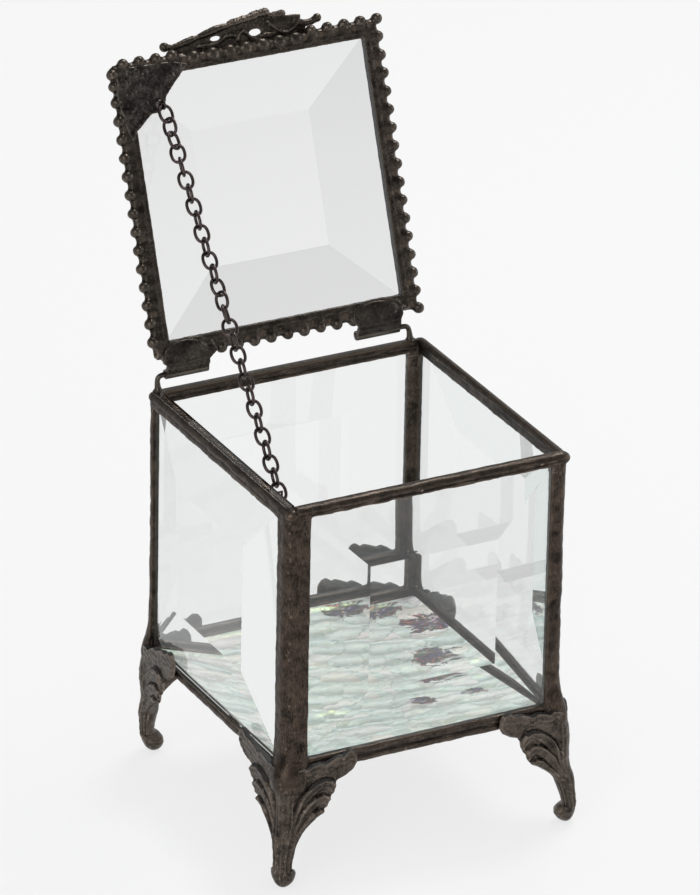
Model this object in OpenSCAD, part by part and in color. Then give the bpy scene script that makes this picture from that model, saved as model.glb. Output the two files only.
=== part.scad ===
// Bevelled glass casket on four cast feet, with a hinged lid held by a chain.
// X runs across the front, Y to the back, Z up. The ground is z = 0.

/* [Glass] */
// Width of each square pane, foil included
pane_w = 76.2; // [50:0.1:120]
// Height of the four wall panes, foil included
pane_h = 74.2; // [50:0.1:120]
// Pane thickness at the rim of the bevel
pane_edge = 2.2; // [1.5:0.1:4]
// Pane thickness inside the bevel
pane_mid = 4.8; // [2.5:0.1:7]
// Width of the ground bevel
bevel_w = 19; // [8:0.5:25]
// Thickness of the base pane
base_t = 2.2; // [1.5:0.1:4]

/* [Foil and solder] */
// Thickness of the copper foil
foil_t = 0.1; // [0.05:0.01:0.2]
// Width of foil showing on each face of a pane
foil_w = 3.6; // [2:0.1:6]
// Solder laid over the foil
skin = 0.3; // [0.1:0.05:0.8]
// Gap between a wall pane's end and the corner, filled by the seam
corner_gap = 0.4; // [0.3:0.1:1]
// Radius of the rounded corner seams
seam_r = 3.7; // [2.9:0.1:4]
// Height of solder over the top edge of the walls
rim_up = 0.4; // [0.2:0.05:1]

/* [Feet] */
// Height of the underside of the base above the ground
stand = 30.2; // [15:0.1:50]
// Distance of each toe outside the inner faces of the walls
toe_splay = 3.9; // [0:0.1:12]
// Length of each leaf wing from the corner
wing_l = 20; // [12:0.1:28]
// Thickness of the leaf wings
wing_t = 1.5; // [0.8:0.1:3]
// Radius of the flat pad under each toe
pad_r = 1.5; // [1:0.1:3]

/* [Lid and hinges] */
// Angle of the lid from closed, as held by the chain
open_angle = 110.7; // [90:0.1:130]
// Hinge line behind the inner face of the back wall
hinge_back = 2.4; // [1:0.1:5]
// Hinge line above the top of the rim
hinge_rise = 3.1; // [2:0.05:6]
// Gap left between the closed hinge leaves and the rim
lid_gap = 0.1; // [0.05:0.01:0.5]
// Hinge line to the back edge of the lid pane
lid_reach = 5.1; // [4:0.1:8]
// Radius of the hinge rods
rod_r = 0.7; // [0.5:0.05:1.2]
// Running clearance round the hinge rods
rod_fit = 0.08; // [0.03:0.01:0.2]
// Wall of the folded hinge barrels
barrel_t = 0.55; // [0.4:0.05:1]
// Sheet thickness of hinge leaves and chain plate
sheet_t = 0.55; // [0.3:0.05:1]
// Middle of the left hinge leaf, from the left edge of the lid pane
leaf_in1 = 7.7; // [7:0.1:18]
// Middle of the right hinge leaf, from the right edge of the lid pane
leaf_in2 = 11.9; // [11:0.1:20]
// Width of the hinge barrels
leaf_w = 12.8; // [8:0.1:16]

// Length of the chain plate along the front border
plate_l = 18.1; // [14:0.1:24]
// Length of the chain plate along the side border
plate_h = 15.7; // [13:0.1:20]

/* [Beaded edging] */
// Radius of each bead
bead_r = 1.55; // [1:0.05:2.5]
// Line of beads beyond the edge of the lid pane
bead_out = 1.0; // [0.5:0.05:2]
// Number of bead spaces along each side
bead_n = 16; // [8:1:24]

/* [Chain] */
// Wire radius of the links
wire_r = 0.35; // [0.25:0.01:0.5]
// Outside width of a link
link_w = 4.4; // [3:0.1:6]
// Lid end of the chain, from the front edge and the left edge of the lid pane
chain_in = 11.3; // [8:0.1:18]
// Box end of the chain, across from the inner face of the left wall
chain_bx = 2.6; // [2.3:0.1:4]
// Box end of the chain, back from the inner face of the front wall
chain_bf = 12.5; // [8:0.1:38]
// Box end of the chain below the rim
chain_bz = 4.8; // [4:0.1:10]

/* [Lid ornament] */
// Half of the ornament's length
orn_half = 24; // [16:0.5:30]
// How far the ornament reaches past the lid pane
orn_out = 9; // [6:0.1:14]
// Thickness of the ornament
orn_t = 1.9; // [1.2:0.1:3]

/* [Hidden] */
$fn = 48;
in_w = pane_w / 2;
wall_w = pane_w - 2 * foil_t - 2 * corner_gap;
foot_r = 3.2;
toe_out = in_w + toe_splay;
z_base = stand + skin;
z_wall = z_base + base_t + 2 * foil_t;
z_glass = z_wall + pane_h;
z_rim = z_glass + rim_up;
wall_o = in_w + pane_edge + 2 * foil_t;
seam_c = in_w - 0.6;
seam_o = seam_c + seam_r;
bulge = (pane_mid - pane_edge) * foil_w / bevel_w;
face_o = wall_o + bulge + skin;
bar_l = pane_w - 2 * foil_w;
hinge_y = in_w + hinge_back;
hinge_z = z_rim + hinge_rise;
under = -hinge_rise + sheet_t + lid_gap;
lid_mid = lid_reach + in_w;
lid_glass_z = under + skin + foil_t;
lid_top = lid_glass_z + pane_edge + foil_t + skin;
bead_line = in_w + bead_out;
bead_gap = 2 * bead_line / bead_n;
bead_z = under + bead_r;
barrel_r = rod_r + rod_fit + barrel_t;
leaf_x1 = leaf_in1 - in_w;
leaf_x2 = in_w - leaf_in2;
eye_r = 1.0;
plate_lim = in_w - foil_t - skin - 0.4;
eye_z = under - sheet_t - eye_r + 0.25;
chain_ax = chain_in - in_w;
chain_ae = lid_reach + pane_w - chain_in;
chain_by = chain_bf - in_w;
// ends of the chain, first in the closed lid's own frame and then as it stands open
a_y = -chain_ae * cos(open_angle) - eye_z * -sin(open_angle);
a_z = chain_ae * sin(open_angle) + eye_z * cos(open_angle);
chain_a = [chain_ax, hinge_y + a_y, hinge_z + a_z];
chain_b = [-in_w + chain_bx, chain_by, z_rim - chain_bz];
chain_v = chain_b - chain_a;
chain_len = norm(chain_v);
// links in each run of the chain that swings as one, from the lid to the box
runs = [5, 5, 3, 2, 2, 3, 4, 5];
function links_to(k) = k == 0 ? 0 : links_to(k - 1) + runs[k - 1];
links = links_to(len(runs));
eye_wire = 0.3;
slack = eye_wire + wire_r + 0.03;
pitch = (chain_len - 2 * slack) / links;
link_hc = (pitch + 2 * wire_r + 0.06) / 2;
link_r = link_w / 2 - wire_r;
// the box's footprint is centred on the whole piece, open lid included
toe_ball = 1.45;
toe_side = 2;
y_front = -toe_out - toe_side * cos(45) - toe_ball;
rope_y = orn_out * 0.66;
rope_l = 13;
rope_r = 1.1;
rope_tilt = 9;
y_back = hinge_y - (lid_reach + pane_w + rope_y + rope_l * sin(rope_tilt)) * cos(open_angle) + (lid_top + bulge + orn_t - 0.3) * sin(open_angle) + rope_r;
y_mid = (y_front + y_back) / 2;

// ---------- shared shapes ----------

module on_box() translate([0, -y_mid, 0]) children();
module on_lid() on_box() translate([0, hinge_y, hinge_z]) rotate([-open_angle, 0, 0]) children();

// one bevelled pane, flat face on the plane z = 0, grown by g all round
module pane(w, h, g) {
  x = w / 2 + g; y = h / 2 + g; t = pane_edge; m = pane_mid; b = bevel_w;
  s = (m - t) / b;
  intersection() {
    translate([0, y, 0]) rotate([90, 0, 0]) linear_extrude(2 * y)
      polygon([[-x, -g], [x, -g], [x, t + g - s * g], [x - b - g, m + g], [b + g - x, m + g], [-x, t + g - s * g]]);
    translate([-x, 0, 0]) rotate([90, 0, 90]) linear_extrude(2 * x)
      polygon([[-y, -g], [y, -g], [y, t + g - s * g], [y - b - g, m + g], [b + g - y, m + g], [-y, t + g - s * g]]);
  }
}

module pane_foil(w, h) difference() {
  pane(w, h, foil_t);
  pane(w, h, 0);
  translate([foil_w - w / 2 - foil_t, foil_w - h / 2 - foil_t, -1]) cube([w + 2 * foil_t - 2 * foil_w, h + 2 * foil_t - 2 * foil_w, pane_mid + 2]);
}

// stands a pane up as the front wall
module as_wall() translate([0, -in_w - foil_t, z_wall + pane_h / 2]) rotate([90, 0, 0]) children();
module wall_glass() as_wall() pane(wall_w, pane_h - 2 * foil_t, 0);
module wall_foil() as_wall() pane_foil(wall_w, pane_h - 2 * foil_t);
module wall_solid() as_wall() pane(wall_w, pane_h - 2 * foil_t, foil_t);

// outline of the solder round one corner, the corner of the inner faces at the origin
module corner_disc() intersection() {
  translate([0.6, 0.6]) circle(seam_r);
  translate([-2 * seam_r, -2 * seam_r]) square(2 * seam_r + foil_w);
}
module seam_outline() difference() {
  union() {
    corner_disc();
    polygon([[0.6, 0.6 - seam_r], [foil_w, in_w - face_o], [foil_w, foil_t + skin], [foil_t + skin, foil_t + skin], [foil_t + skin, foil_w], [in_w - face_o, foil_w], [0.6 - seam_r, 0.6]]);
  }
  translate([foil_t + skin, foil_t + skin]) square(2 * foil_w);
}

module seam() difference() {
  translate([-in_w, -in_w, stand]) linear_extrude(z_rim - stand) seam_outline();
  wall_solid();
  rotate([0, 0, -90]) wall_solid();
  translate([-base_half, -base_half, z_base]) cube([2 * base_half, 2 * base_half, base_t + 2 * foil_t]);
}

// solder along the top edge of the front wall
module rim() difference() {
  translate([-bar_l / 2, 0, 0]) rotate([90, 0, 90]) linear_extrude(bar_l) difference() {
    union() {
      polygon([[-face_o, z_glass - foil_w], [-wall_o - skin, z_glass - 0.2], [-wall_o + 0.4, z_rim], [-in_w - 0.3, z_rim], [-in_w + foil_t + skin, z_glass - 0.1], [-in_w + foil_t + skin, z_glass - foil_w]]);
    }
    translate([-in_w - pane_mid / 2, z_glass - foil_w - 3]) square([2 * pane_mid, 3]);
  }
  wall_solid();
}

base_half = wall_o - 0.6;
// solder along the bottom edge of the front wall and round the edge of the base pane
module skirt() difference() {
  translate([-bar_l / 2, 0, 0]) rotate([90, 0, 90]) linear_extrude(bar_l) union() {
    polygon([[-in_w - 0.5, z_wall], [-in_w - 0.5, z_wall + foil_w], [-face_o, z_wall + foil_w], [-wall_o - skin, z_wall + 0.4], [-wall_o - skin + 0.15, z_wall], [-base_half - 0.7, z_wall - 0.5], [-base_half - 0.7, stand + 0.5], [-base_half - 0.2, stand], [-base_half + foil_w, stand], [-base_half + foil_w, z_wall]]);
  }
  wall_solid();
  translate([-base_half, -base_half, z_base]) cube([2 * base_half, 2 * base_half, base_t + 2 * foil_t]);
}

// ---------- feet ----------

// plan of the box at its base, feet stay outside of it
module plan() {
  for (a = [0:90:270]) rotate(a) {
    translate([-in_w + foil_w, -face_o]) square([bar_l, face_o]);
    translate([-in_w, -in_w]) seam_plan();
  }
  square(2 * in_w, center = true);
}
module seam_plan() {
  corner_disc();
  polygon([[0.6, 0.6 - seam_r], [foil_w, in_w - face_o], [foil_w, foil_w], [in_w - face_o, foil_w], [0.6 - seam_r, 0.6]]);
}

// one leaf wing, flat in the plane of the front wall, corner at x = 0
module wing() translate([0, 0.01, 0]) rotate([90, 0, 0]) linear_extrude(wing_t) {
  z = stand;
  polygon([[-0.5, z + 4], [2, z + 3.6], [5, z + 3], [8, z + 3.8], [11.5, z + 3.8], [15, z + 5.2], [wing_l - 2, z + 5.9],
    [wing_l, z + 3.9], [wing_l, z + 1.2], [wing_l - 2.5, z - 1.2], [14, z - 2.4], [13.2, z - 6.2], [11.2, z - 9.4],
    [8.6, z - 11], [6.6, z - 14.2], [3.4, z - 18], [-0.5, z - 19]]);
  translate([wing_l - 2, z + 3.9]) circle(2);
  translate([11.4, z - 4.6]) circle(2.6);
  translate([9, z - 8.6]) circle(2.2);
}

module foot() {
  c = face_o;
  lean = atan2(norm([toe_out - seam_c, toe_out - seam_c]), stand - 2);
  difference() {
    union() {
      translate([-c, -c, 0]) wing();
      mirror([1, -1, 0]) translate([-c, -c, 0]) wing();
      translate([-seam_o + foot_r - 1.2, -seam_o + foot_r - 1.2, stand - 12]) cylinder(r = foot_r, h = 16);
      translate([-toe_out, -toe_out, 1.8]) rotate([0, 0, 45]) rotate([0, lean, 0]) cylinder(r1 = 2.1, r2 = foot_r + 0.9, h = stand - 3);
      translate([-toe_out, -toe_out, 2]) sphere(2);
      translate([-toe_out, -toe_out, 2.2]) rotate([0, 0, -45]) rotate([0, 90, 0]) cylinder(r = 1.6, h = 2 * toe_side, center = true);
      translate([-toe_out, -toe_out, 2.8]) rotate([0, 0, -45]) for (s = [-1, 1]) translate([s * toe_side, 0, 0]) sphere(toe_ball);
      translate([-toe_out, -toe_out, 0]) cylinder(r = pad_r, h = 1);
    }
    translate([0, 0, stand]) linear_extrude(20) plan();
    translate([-c + 3.5, -c + 3.5, stand - 22]) cube([30, 30, 22]);
  }
}

// ---------- hinges ----------

rod_end_z = z_rim - 2;
// rod in the left barrel, turned down into the back left seam
module rod_left() {
  x1 = leaf_x1 - leaf_w / 2;
  translate([x1 - 1.6, hinge_y, hinge_z]) rotate([0, 90, 0]) cylinder(r = rod_r, h = leaf_w + 1.2);
  translate([x1 - 1.6, hinge_y, hinge_z]) sphere(rod_r);
  translate([x1 - 1.6, hinge_y, hinge_z]) rotate([180 + atan2(1.3, hinge_rise + 2), 0, 0]) cylinder(r = rod_r, h = hinge_rise + 2);
}
module rod_right() {
  x2 = leaf_x2 + leaf_w / 2;
  translate([x2 + 3.6, hinge_y, hinge_z]) rotate([0, -90, 0]) cylinder(r = rod_r, h = leaf_w + 3.2);
  translate([x2 + 3.6, hinge_y, hinge_z]) sphere(rod_r);
  translate([x2 + 3.6, hinge_y, hinge_z]) rotate([180 + atan2(1.3, hinge_rise + 2), 0, 0]) cylinder(r = rod_r, h = hinge_rise + 2);
}

// folded leaf under the back border of the lid, lid closed, hinge line on the X axis
module leaf() difference() {
  union() {
    rotate([0, 90, 0]) cylinder(r = barrel_r, h = leaf_w, center = true);
    rotate([90, 0, 90]) translate([0, 0, -leaf_w / 2 + 0.3]) linear_extrude(leaf_w - 0.6)
      polygon([[0, -barrel_r + 0.1], [-rod_r - 0.25, -rod_r], [-3.2, under + 0.15], [-4.4, under], [-4.4, under - sheet_t], [-3.4, under - sheet_t]]);
    translate([0, 0, under - sheet_t]) linear_extrude(sheet_t) {
      translate([-leaf_w / 2 + 0.3, -5]) square([leaf_w - 0.6, 1.2]);
      translate([0, -5.4]) scale([1.55, 1]) circle(3.4);
      translate([0, -5.2]) square([leaf_w + 1.4, 1.2], center = true);
    }
  }
  rotate([0, 90, 0]) cylinder(r = rod_r + rod_fit, h = leaf_w + 2, center = true);
}

// ---------- lid, drawn closed, hinge line on the X axis ----------

module at_lid_mid() translate([0, -lid_mid, 0]) children();
module lid_pane() at_lid_mid() translate([0, 0, lid_glass_z]) children();
module lid_solid() lid_pane() pane(pane_w - 2 * foil_t, pane_w - 2 * foil_t, foil_t);

module border(l) difference() {
  translate([-l / 2, 0, 0]) rotate([90, 0, 90]) linear_extrude(l) {
    polygon([[-in_w + foil_w, under], [-in_w - 0.3, under], [-in_w - 0.6, under + 0.5], [-in_w - 0.6, lid_top - 0.7], [-in_w, lid_top], [-in_w + foil_w, lid_top + bulge]]);
  }
  translate([0, 0, lid_glass_z]) pane(pane_w - 2 * foil_t, pane_w - 2 * foil_t, foil_t);
}

// a ball flattened where it meets the border
module bead() rotate([90, 0, 0]) rotate_extrude() intersection() {
  circle(bead_r, $fn = 32);
  translate([0, 0.6 - bead_out]) square([2 * bead_r, 2 * bead_r]);
}
module bead_row(from, to) {
  for (i = [from:to]) translate([(i - bead_n / 2) * bead_gap, -bead_line, bead_z]) bead();
  if (to > from) translate([(from - bead_n / 2) * bead_gap, -bead_line + bead_out - 0.6 - 0.9, bead_z - 0.6]) cube([(to - from) * bead_gap, 0.9, 1.2]);
}

// ---------- ornament ----------

module ornament() at_lid_mid() translate([0, -in_w, 0]) {
  h = orn_half; o = orn_out;
  difference() {
    translate([0, 0, lid_top + bulge]) linear_extrude(orn_t) difference() {
      union() {
        polygon([[-h + 2, 1], [-h + 2, -2.4], [-h * 0.66, -3.6], [-h * 0.35, -o * 0.66], [-3, -o * 0.72], [3, -o * 0.8], [h * 0.36, -o + 0.9], [h * 0.62, -o * 0.74], [h - 3, -4], [h - 1.5, -2.2], [h - 2, 1]]);
        translate([-h + 1.8, -3]) circle(1.9);
        translate([h - 1.8, -3]) circle(1.9);
        for (k = [-2:2]) translate([k * 7.2, 1]) circle(3);
      }
      translate([-h * 0.36, -3]) scale([1.6, 1]) circle(1.3);
      translate([h * 0.14, -3.6]) scale([1.7, 1]) circle(1.5);
    }
  }
  translate([-3.5, -rope_y, lid_top + bulge + orn_t - 0.3]) rotate([0, 0, -rope_tilt]) rotate([0, 90, 0]) cylinder(r = rope_r, h = rope_l);
}

// ---------- chain ----------

module link() {
  for (s = [0, 180]) rotate([0, 0, s]) {
    translate([0, link_hc - link_r, 0]) rotate_extrude(angle = 180) translate([link_r, 0]) circle(wire_r, $fn = 24);
    translate([link_r, -link_hc + link_r - 0.05, 0]) rotate([-90, 0, 0]) cylinder(r = wire_r - 0.01, h = 2 * (link_hc - link_r) + 0.1, $fn = 24);
  }
}
// places the links of run n on the taut line, drawn along Y and turned to lie along the chain
module chain_run(n) on_box() translate(chain_a)
  rotate([0, 0, atan2(chain_v[1], chain_v[0]) - 90])
  rotate([atan2(chain_v[2], norm([chain_v[0], chain_v[1]])), 0, 0])
  for (k = [links_to(n - 1) + 1:links_to(n)]) translate([0, slack + (k - 0.5) * pitch, 0]) rotate([0, k % 2 == 0 ? 90 : 0, 0]) link();

// ---------- nodes ----------

module front_glass() color("azure", 0.4) on_box() wall_glass();
module back_glass() color("azure", 0.4) on_box() rotate([0, 0, 180]) wall_glass();
module left_glass() color("azure", 0.4) on_box() rotate([0, 0, -90]) wall_glass();
module right_glass() color("azure", 0.4) on_box() rotate([0, 0, 90]) wall_glass();
module base_glass() color("mintcream", 0.7) on_box() translate([foil_t - base_half, foil_t - base_half, z_base + foil_t]) cube([2 * base_half - 2 * foil_t, 2 * base_half - 2 * foil_t, base_t]);

module front_foil() color("sienna") on_box() wall_foil();
module back_foil() color("sienna") on_box() rotate([0, 0, 180]) wall_foil();
module left_foil() color("sienna") on_box() rotate([0, 0, -90]) wall_foil();
module right_foil() color("sienna") on_box() rotate([0, 0, 90]) wall_foil();
module base_foil() color("sienna") on_box() difference() {
  translate([-base_half, -base_half, z_base]) cube([2 * base_half, 2 * base_half, base_t + 2 * foil_t]);
  translate([foil_t - base_half, foil_t - base_half, z_base + foil_t]) cube([2 * base_half - 2 * foil_t, 2 * base_half - 2 * foil_t, base_t]);
  translate([foil_w - base_half, foil_w - base_half, z_base - 1]) cube([2 * base_half - 2 * foil_w, 2 * base_half - 2 * foil_w, base_t + 3]);
}

module seam_front_left() color("dimgray") on_box() seam();
module seam_front_right() color("dimgray") on_box() rotate([0, 0, 90]) seam();
module seam_back_left() color("dimgray") on_box() difference() {
  rotate([0, 0, -90]) seam();
  rod_left();
}
module seam_back_right() color("dimgray") on_box() difference() {
  rotate([0, 0, 180]) seam();
  rod_right();
}

module rim_front() color("dimgray") on_box() rim();
module rim_back() color("dimgray") on_box() rotate([0, 0, 180]) rim();
module rim_left() color("dimgray") on_box() rotate([0, 0, -90]) rim();
module rim_right() color("dimgray") on_box() rotate([0, 0, 90]) rim();
module skirt_front() color("dimgray") on_box() skirt();
module skirt_back() color("dimgray") on_box() rotate([0, 0, 180]) skirt();
module skirt_left() color("dimgray") on_box() rotate([0, 0, -90]) skirt();
module skirt_right() color("dimgray") on_box() rotate([0, 0, 90]) skirt();

module foot_front_left() color("darkgoldenrod") on_box() foot();
module foot_front_right() color("darkgoldenrod") on_box() rotate([0, 0, 90]) foot();
module foot_back_left() color("darkgoldenrod") on_box() rotate([0, 0, -90]) foot();
module foot_back_right() color("darkgoldenrod") on_box() rotate([0, 0, 180]) foot();

module hinge_rod_left() color("peru") on_box() rod_left();
module hinge_rod_right() color("peru") on_box() rod_right();
// eye on the inside of the left rim that takes the last link
module chain_eye_box() color("peru") on_box() difference() {
  translate(chain_b) {
    rotate([0, 90, 0]) rotate_extrude() translate([eye_r, 0]) circle(eye_wire, $fn = 24);
    translate([0, 0, eye_r]) cylinder(r = eye_wire, h = 1.6, $fn = 24);
    translate([0, 0, eye_r + 1.6]) rotate([0, -90, 0]) cylinder(r = eye_wire, h = chain_bx - foil_t - skin, $fn = 24);
    translate([0, 0, eye_r + 1.6]) sphere(eye_wire, $fn = 24);
  }
}

module lid_glass() color("azure", 0.4) on_lid() lid_pane() pane(pane_w - 2 * foil_t, pane_w - 2 * foil_t, 0);
module lid_foil() color("sienna") on_lid() lid_pane() pane_foil(pane_w - 2 * foil_t, pane_w - 2 * foil_t);
module lid_border_front() color("dimgray") on_lid() at_lid_mid() border(pane_w + 1.2);
module lid_border_back() color("dimgray") on_lid() at_lid_mid() rotate([0, 0, 180]) border(pane_w + 1.2);
module lid_border_left() color("dimgray") on_lid() at_lid_mid() rotate([0, 0, -90]) border(bar_l);
module lid_border_right() color("dimgray") on_lid() at_lid_mid() rotate([0, 0, 90]) border(bar_l);
module beads_front() color("dimgray") on_lid() at_lid_mid() bead_row(0, bead_n);
module beads_left() color("dimgray") on_lid() at_lid_mid() rotate([0, 0, -90]) bead_row(1, bead_n - 1);
module beads_right() color("dimgray") on_lid() at_lid_mid() rotate([0, 0, 90]) bead_row(1, bead_n - 1);
module beads_back() color("dimgray") on_lid() at_lid_mid() rotate([0, 0, 180]) {
  bead_row(0, 0);
  bead_row(4, bead_n - 4);
  bead_row(bead_n, bead_n);
}
module lid_ornament() color("darkgoldenrod") on_lid() ornament();
module chain_plate() color("peru") on_lid() translate([0, 0, under - sheet_t]) linear_extrude(sheet_t) {
  y1 = -(hinge_back + in_w + plate_lim);
  x1 = -plate_lim;
  slope = plate_h / plate_l;
  xa = chain_ax - 1.3;
  xb = chain_ax + 1.3;
  polygon([[x1, y1], [x1, y1 + plate_h], [xa, y1 + plate_h - slope * (xa - x1)], [xa, -chain_ae + 1.2], [xb, -chain_ae + 1.2], [xb, y1 + plate_h - slope * (xb - x1)], [x1 + plate_l, y1]]);
}
module chain_eye_lid() color("peru") on_lid() difference() {
  translate([chain_ax, -chain_ae, eye_z]) rotate([0, 90, 0]) rotate_extrude() translate([eye_r, 0]) circle(eye_wire, $fn = 24);
  translate([chain_ax - 3, -chain_ae - 3, under - sheet_t]) cube([6, 6, 6]);
}
module hinge_leaf_left() color("darkgoldenrod") on_lid() translate([leaf_x1, 0, 0]) leaf();
module hinge_leaf_right() color("darkgoldenrod") on_lid() translate([leaf_x2, 0, 0]) leaf();

module chain_1() color("saddlebrown") chain_run(1);
module chain_2() color("saddlebrown") chain_run(2);
module chain_3() color("saddlebrown") chain_run(3);
module chain_4() color("saddlebrown") chain_run(4);
module chain_5() color("saddlebrown") chain_run(5);
module chain_6() color("saddlebrown") chain_run(6);
module chain_7() color("saddlebrown") chain_run(7);
module chain_8() color("saddlebrown") chain_run(8);

front_glass();
back_glass();
left_glass();
right_glass();
base_glass();
front_foil();
back_foil();
left_foil();
right_foil();
base_foil();
seam_front_left();
seam_front_right();
seam_back_left();
seam_back_right();
rim_front();
rim_back();
rim_left();
rim_right();
skirt_front();
skirt_back();
skirt_left();
skirt_right();
foot_front_left();
foot_front_right();
foot_back_left();
foot_back_right();
hinge_rod_left();
hinge_rod_right();
chain_eye_box();
lid_glass();
lid_foil();
lid_border_front();
lid_border_back();
lid_border_left();
lid_border_right();
beads_front();
beads_back();
beads_left();
beads_right();
lid_ornament();
chain_plate();
chain_eye_lid();
hinge_leaf_left();
hinge_leaf_right();
chain_1();
chain_2();
chain_3();
chain_4();
chain_5();
chain_6();
chain_7();
chain_8();
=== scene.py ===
"""Glass casket box on cast feet, lid open on its chain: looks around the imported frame."""

from math import atan2, copysign, cos, exp, hypot, pi, radians, sin, sqrt

import bmesh
import bpy
import numpy as np
from mathutils import Matrix, Vector, noise


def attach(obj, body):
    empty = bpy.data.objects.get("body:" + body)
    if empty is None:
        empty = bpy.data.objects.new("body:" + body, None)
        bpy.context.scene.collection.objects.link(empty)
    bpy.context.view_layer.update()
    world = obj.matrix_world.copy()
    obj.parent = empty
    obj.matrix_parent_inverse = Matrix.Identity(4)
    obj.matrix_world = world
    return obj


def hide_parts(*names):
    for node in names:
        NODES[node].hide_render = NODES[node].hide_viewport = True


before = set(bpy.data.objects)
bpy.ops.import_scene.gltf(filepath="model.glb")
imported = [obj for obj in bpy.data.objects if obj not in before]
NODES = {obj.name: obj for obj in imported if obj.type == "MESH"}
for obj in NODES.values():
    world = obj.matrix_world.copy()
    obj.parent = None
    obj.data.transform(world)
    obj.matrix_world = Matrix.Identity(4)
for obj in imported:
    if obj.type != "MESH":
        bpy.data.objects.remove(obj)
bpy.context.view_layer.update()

# ---------------------------------------------------------------- sizes, mm
MM = 0.001
HALF = 38.1  # inner face of a wall, from the middle
PANE_EDGE = 2.2
FOIL_T = 0.1
FOIL_W = 3.6
SKIN = 0.3
WALL_O = HALF + PANE_EDGE + 2 * FOIL_T
PANE_MID = 4.8
BEVEL_W = 19
CORNER_GAP = 0.4
BULGE = (PANE_MID - PANE_EDGE) * FOIL_W / BEVEL_W
STAND = 30.2
Z_WALL = 32.9
Z_GLASS = 107.1
BASE_HALF = WALL_O - 0.6
Z_RIM = 107.5
CAD_LIMIT = 44.78  # feet and seams come no further out from the middle, just inside the CAD
HINGE_Y = 40.5
HINGE_Z = 110.6
OPEN = 110.7
Y_MID = 15.3819
UNDER = -2.45
LID_MID = 43.2
LID_TOP = UNDER + 2 * (SKIN + FOIL_T) + PANE_EDGE
BEAD_LINE = 39.1
BEAD_N = 16
BEAD_R = 1.55
BEAD_Z = UNDER + BEAD_R
SHEET_T = 0.55
ROD_R = 0.7
BARREL_R = 1.33
CHAIN_AX = 11.3 - HALF
CHAIN_AE = 70
CHAIN_BX = 2.6
CHAIN_BY = 12.5 - HALF
CHAIN_BZ = 4.8
EYE_Z = UNDER - SHEET_T - 1 + 0.25
CHAIN_SLACK = 0.68
WIRE_R = 0.43
LINK_W = 4.4
RUNS = [5, 5, 3, 2, 2, 3, 4, 5]  # links in each stretch of chain that swings as one
SIDES = (("front", 0), ("right", 90), ("back", 180), ("left", 270))
CORNERS = ("front_left", "front_right", "back_right", "back_left")


def shift(x, y, z):
    return Matrix.Translation((x, y, z))


def spin(degrees, axis="Z"):
    return Matrix.Rotation(radians(degrees), 4, axis)


BOX = shift(0, -Y_MID, 0)
RODS = BOX @ shift(0, HINGE_Y, HINGE_Z)
LID = RODS @ spin(-OPEN, "X")
LID_PANE = LID @ shift(0, -LID_MID, 0)


def turned(degrees):
    """Placement of a front-wall piece on the wall or corner that many degrees round the box."""
    return BOX @ spin(degrees)


# ---------------------------------------------------------------- materials
def put(t, value, socket):
    """Link a socket to value, or set it to value; three numbers for a colour get full alpha."""
    if isinstance(value, bpy.types.NodeSocket):
        t.links.new(value, socket)
    elif isinstance(value, tuple):
        socket.default_value = (*value, 1)[:len(socket.default_value)]
    else:
        socket.default_value = value


def node(t, kind, *values, **named):
    """A shader node with its sockets fed in order, and sockets or settings by name."""
    n = t.nodes.new("ShaderNode" + kind)
    for name, value in named.items():
        if name in n.inputs:
            put(t, value, n.inputs[name])
        else:
            setattr(n, name, value)
    for k, value in enumerate(values):
        put(t, value, n.inputs[k])
    return n


def maths(t, operation, *values, kind="Math", result=0, **named):
    return node(t, kind, *values, operation=operation, **named).outputs[result]


def vectors(t, operation, *values, **named):
    return maths(t, operation, *values, kind="VectorMath", **named)


def surface(t, shader):
    """Show that shader."""
    t.links.new(shader, t.nodes["Material Output"].inputs[0])


def new_material(name, **named):
    """A material, its tree and its principled shader; underscores in a socket's name stand for spaces."""
    m = bpy.data.materials.new(name)
    m.use_nodes = True
    t = m.node_tree
    t.nodes.clear()
    t.nodes.new("ShaderNodeOutputMaterial")
    p = node(t, "BsdfPrincipled", **{k.replace("_", " "): v for k, v in named.items()})
    surface(t, p.outputs[0])
    return m, t, p


def coords(t, scale=(1, 1, 1)):
    """Object coordinates in millimetres, stretched by scale."""
    place = node(t, "TexCoord").outputs["Object"]
    return node(t, "Mapping", place, Scale=tuple(s / MM for s in scale)).outputs[0]


def grey(v):
    return (v, v, v)


def ramp(t, source, *stops):
    """Colours along source; a stop is a position and a colour or a grey."""
    r = node(t, "ValToRGB", source)
    e = r.color_ramp.elements
    while len(e) < len(stops):
        e.new(0.5)
    for k, (at, colour) in enumerate(stops):
        e[k].position = at
        e[k].color = (*(colour if isinstance(colour, tuple) else grey(colour)), 1)
    return r.outputs[0]


def noise_tex(t, vec, scale, detail=5, rough=0.55, distortion=0):
    return node(t, "TexNoise", Vector=vec, Scale=scale, Detail=detail, Roughness=rough,
                Distortion=distortion).outputs[0]


def mix(t, a, b, share, blend="MIX"):
    """Share of colour b over colour a; each is a socket or a value."""
    m = node(t, "Mix", share, data_type="RGBA", blend_type=blend)
    put(t, a, m.inputs[6])
    put(t, b, m.inputs[7])
    return m.outputs[2]


def faded(t, mask, share):
    """A mask with only a share of its strength."""
    return mix(t, grey(0), mask, share)


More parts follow.
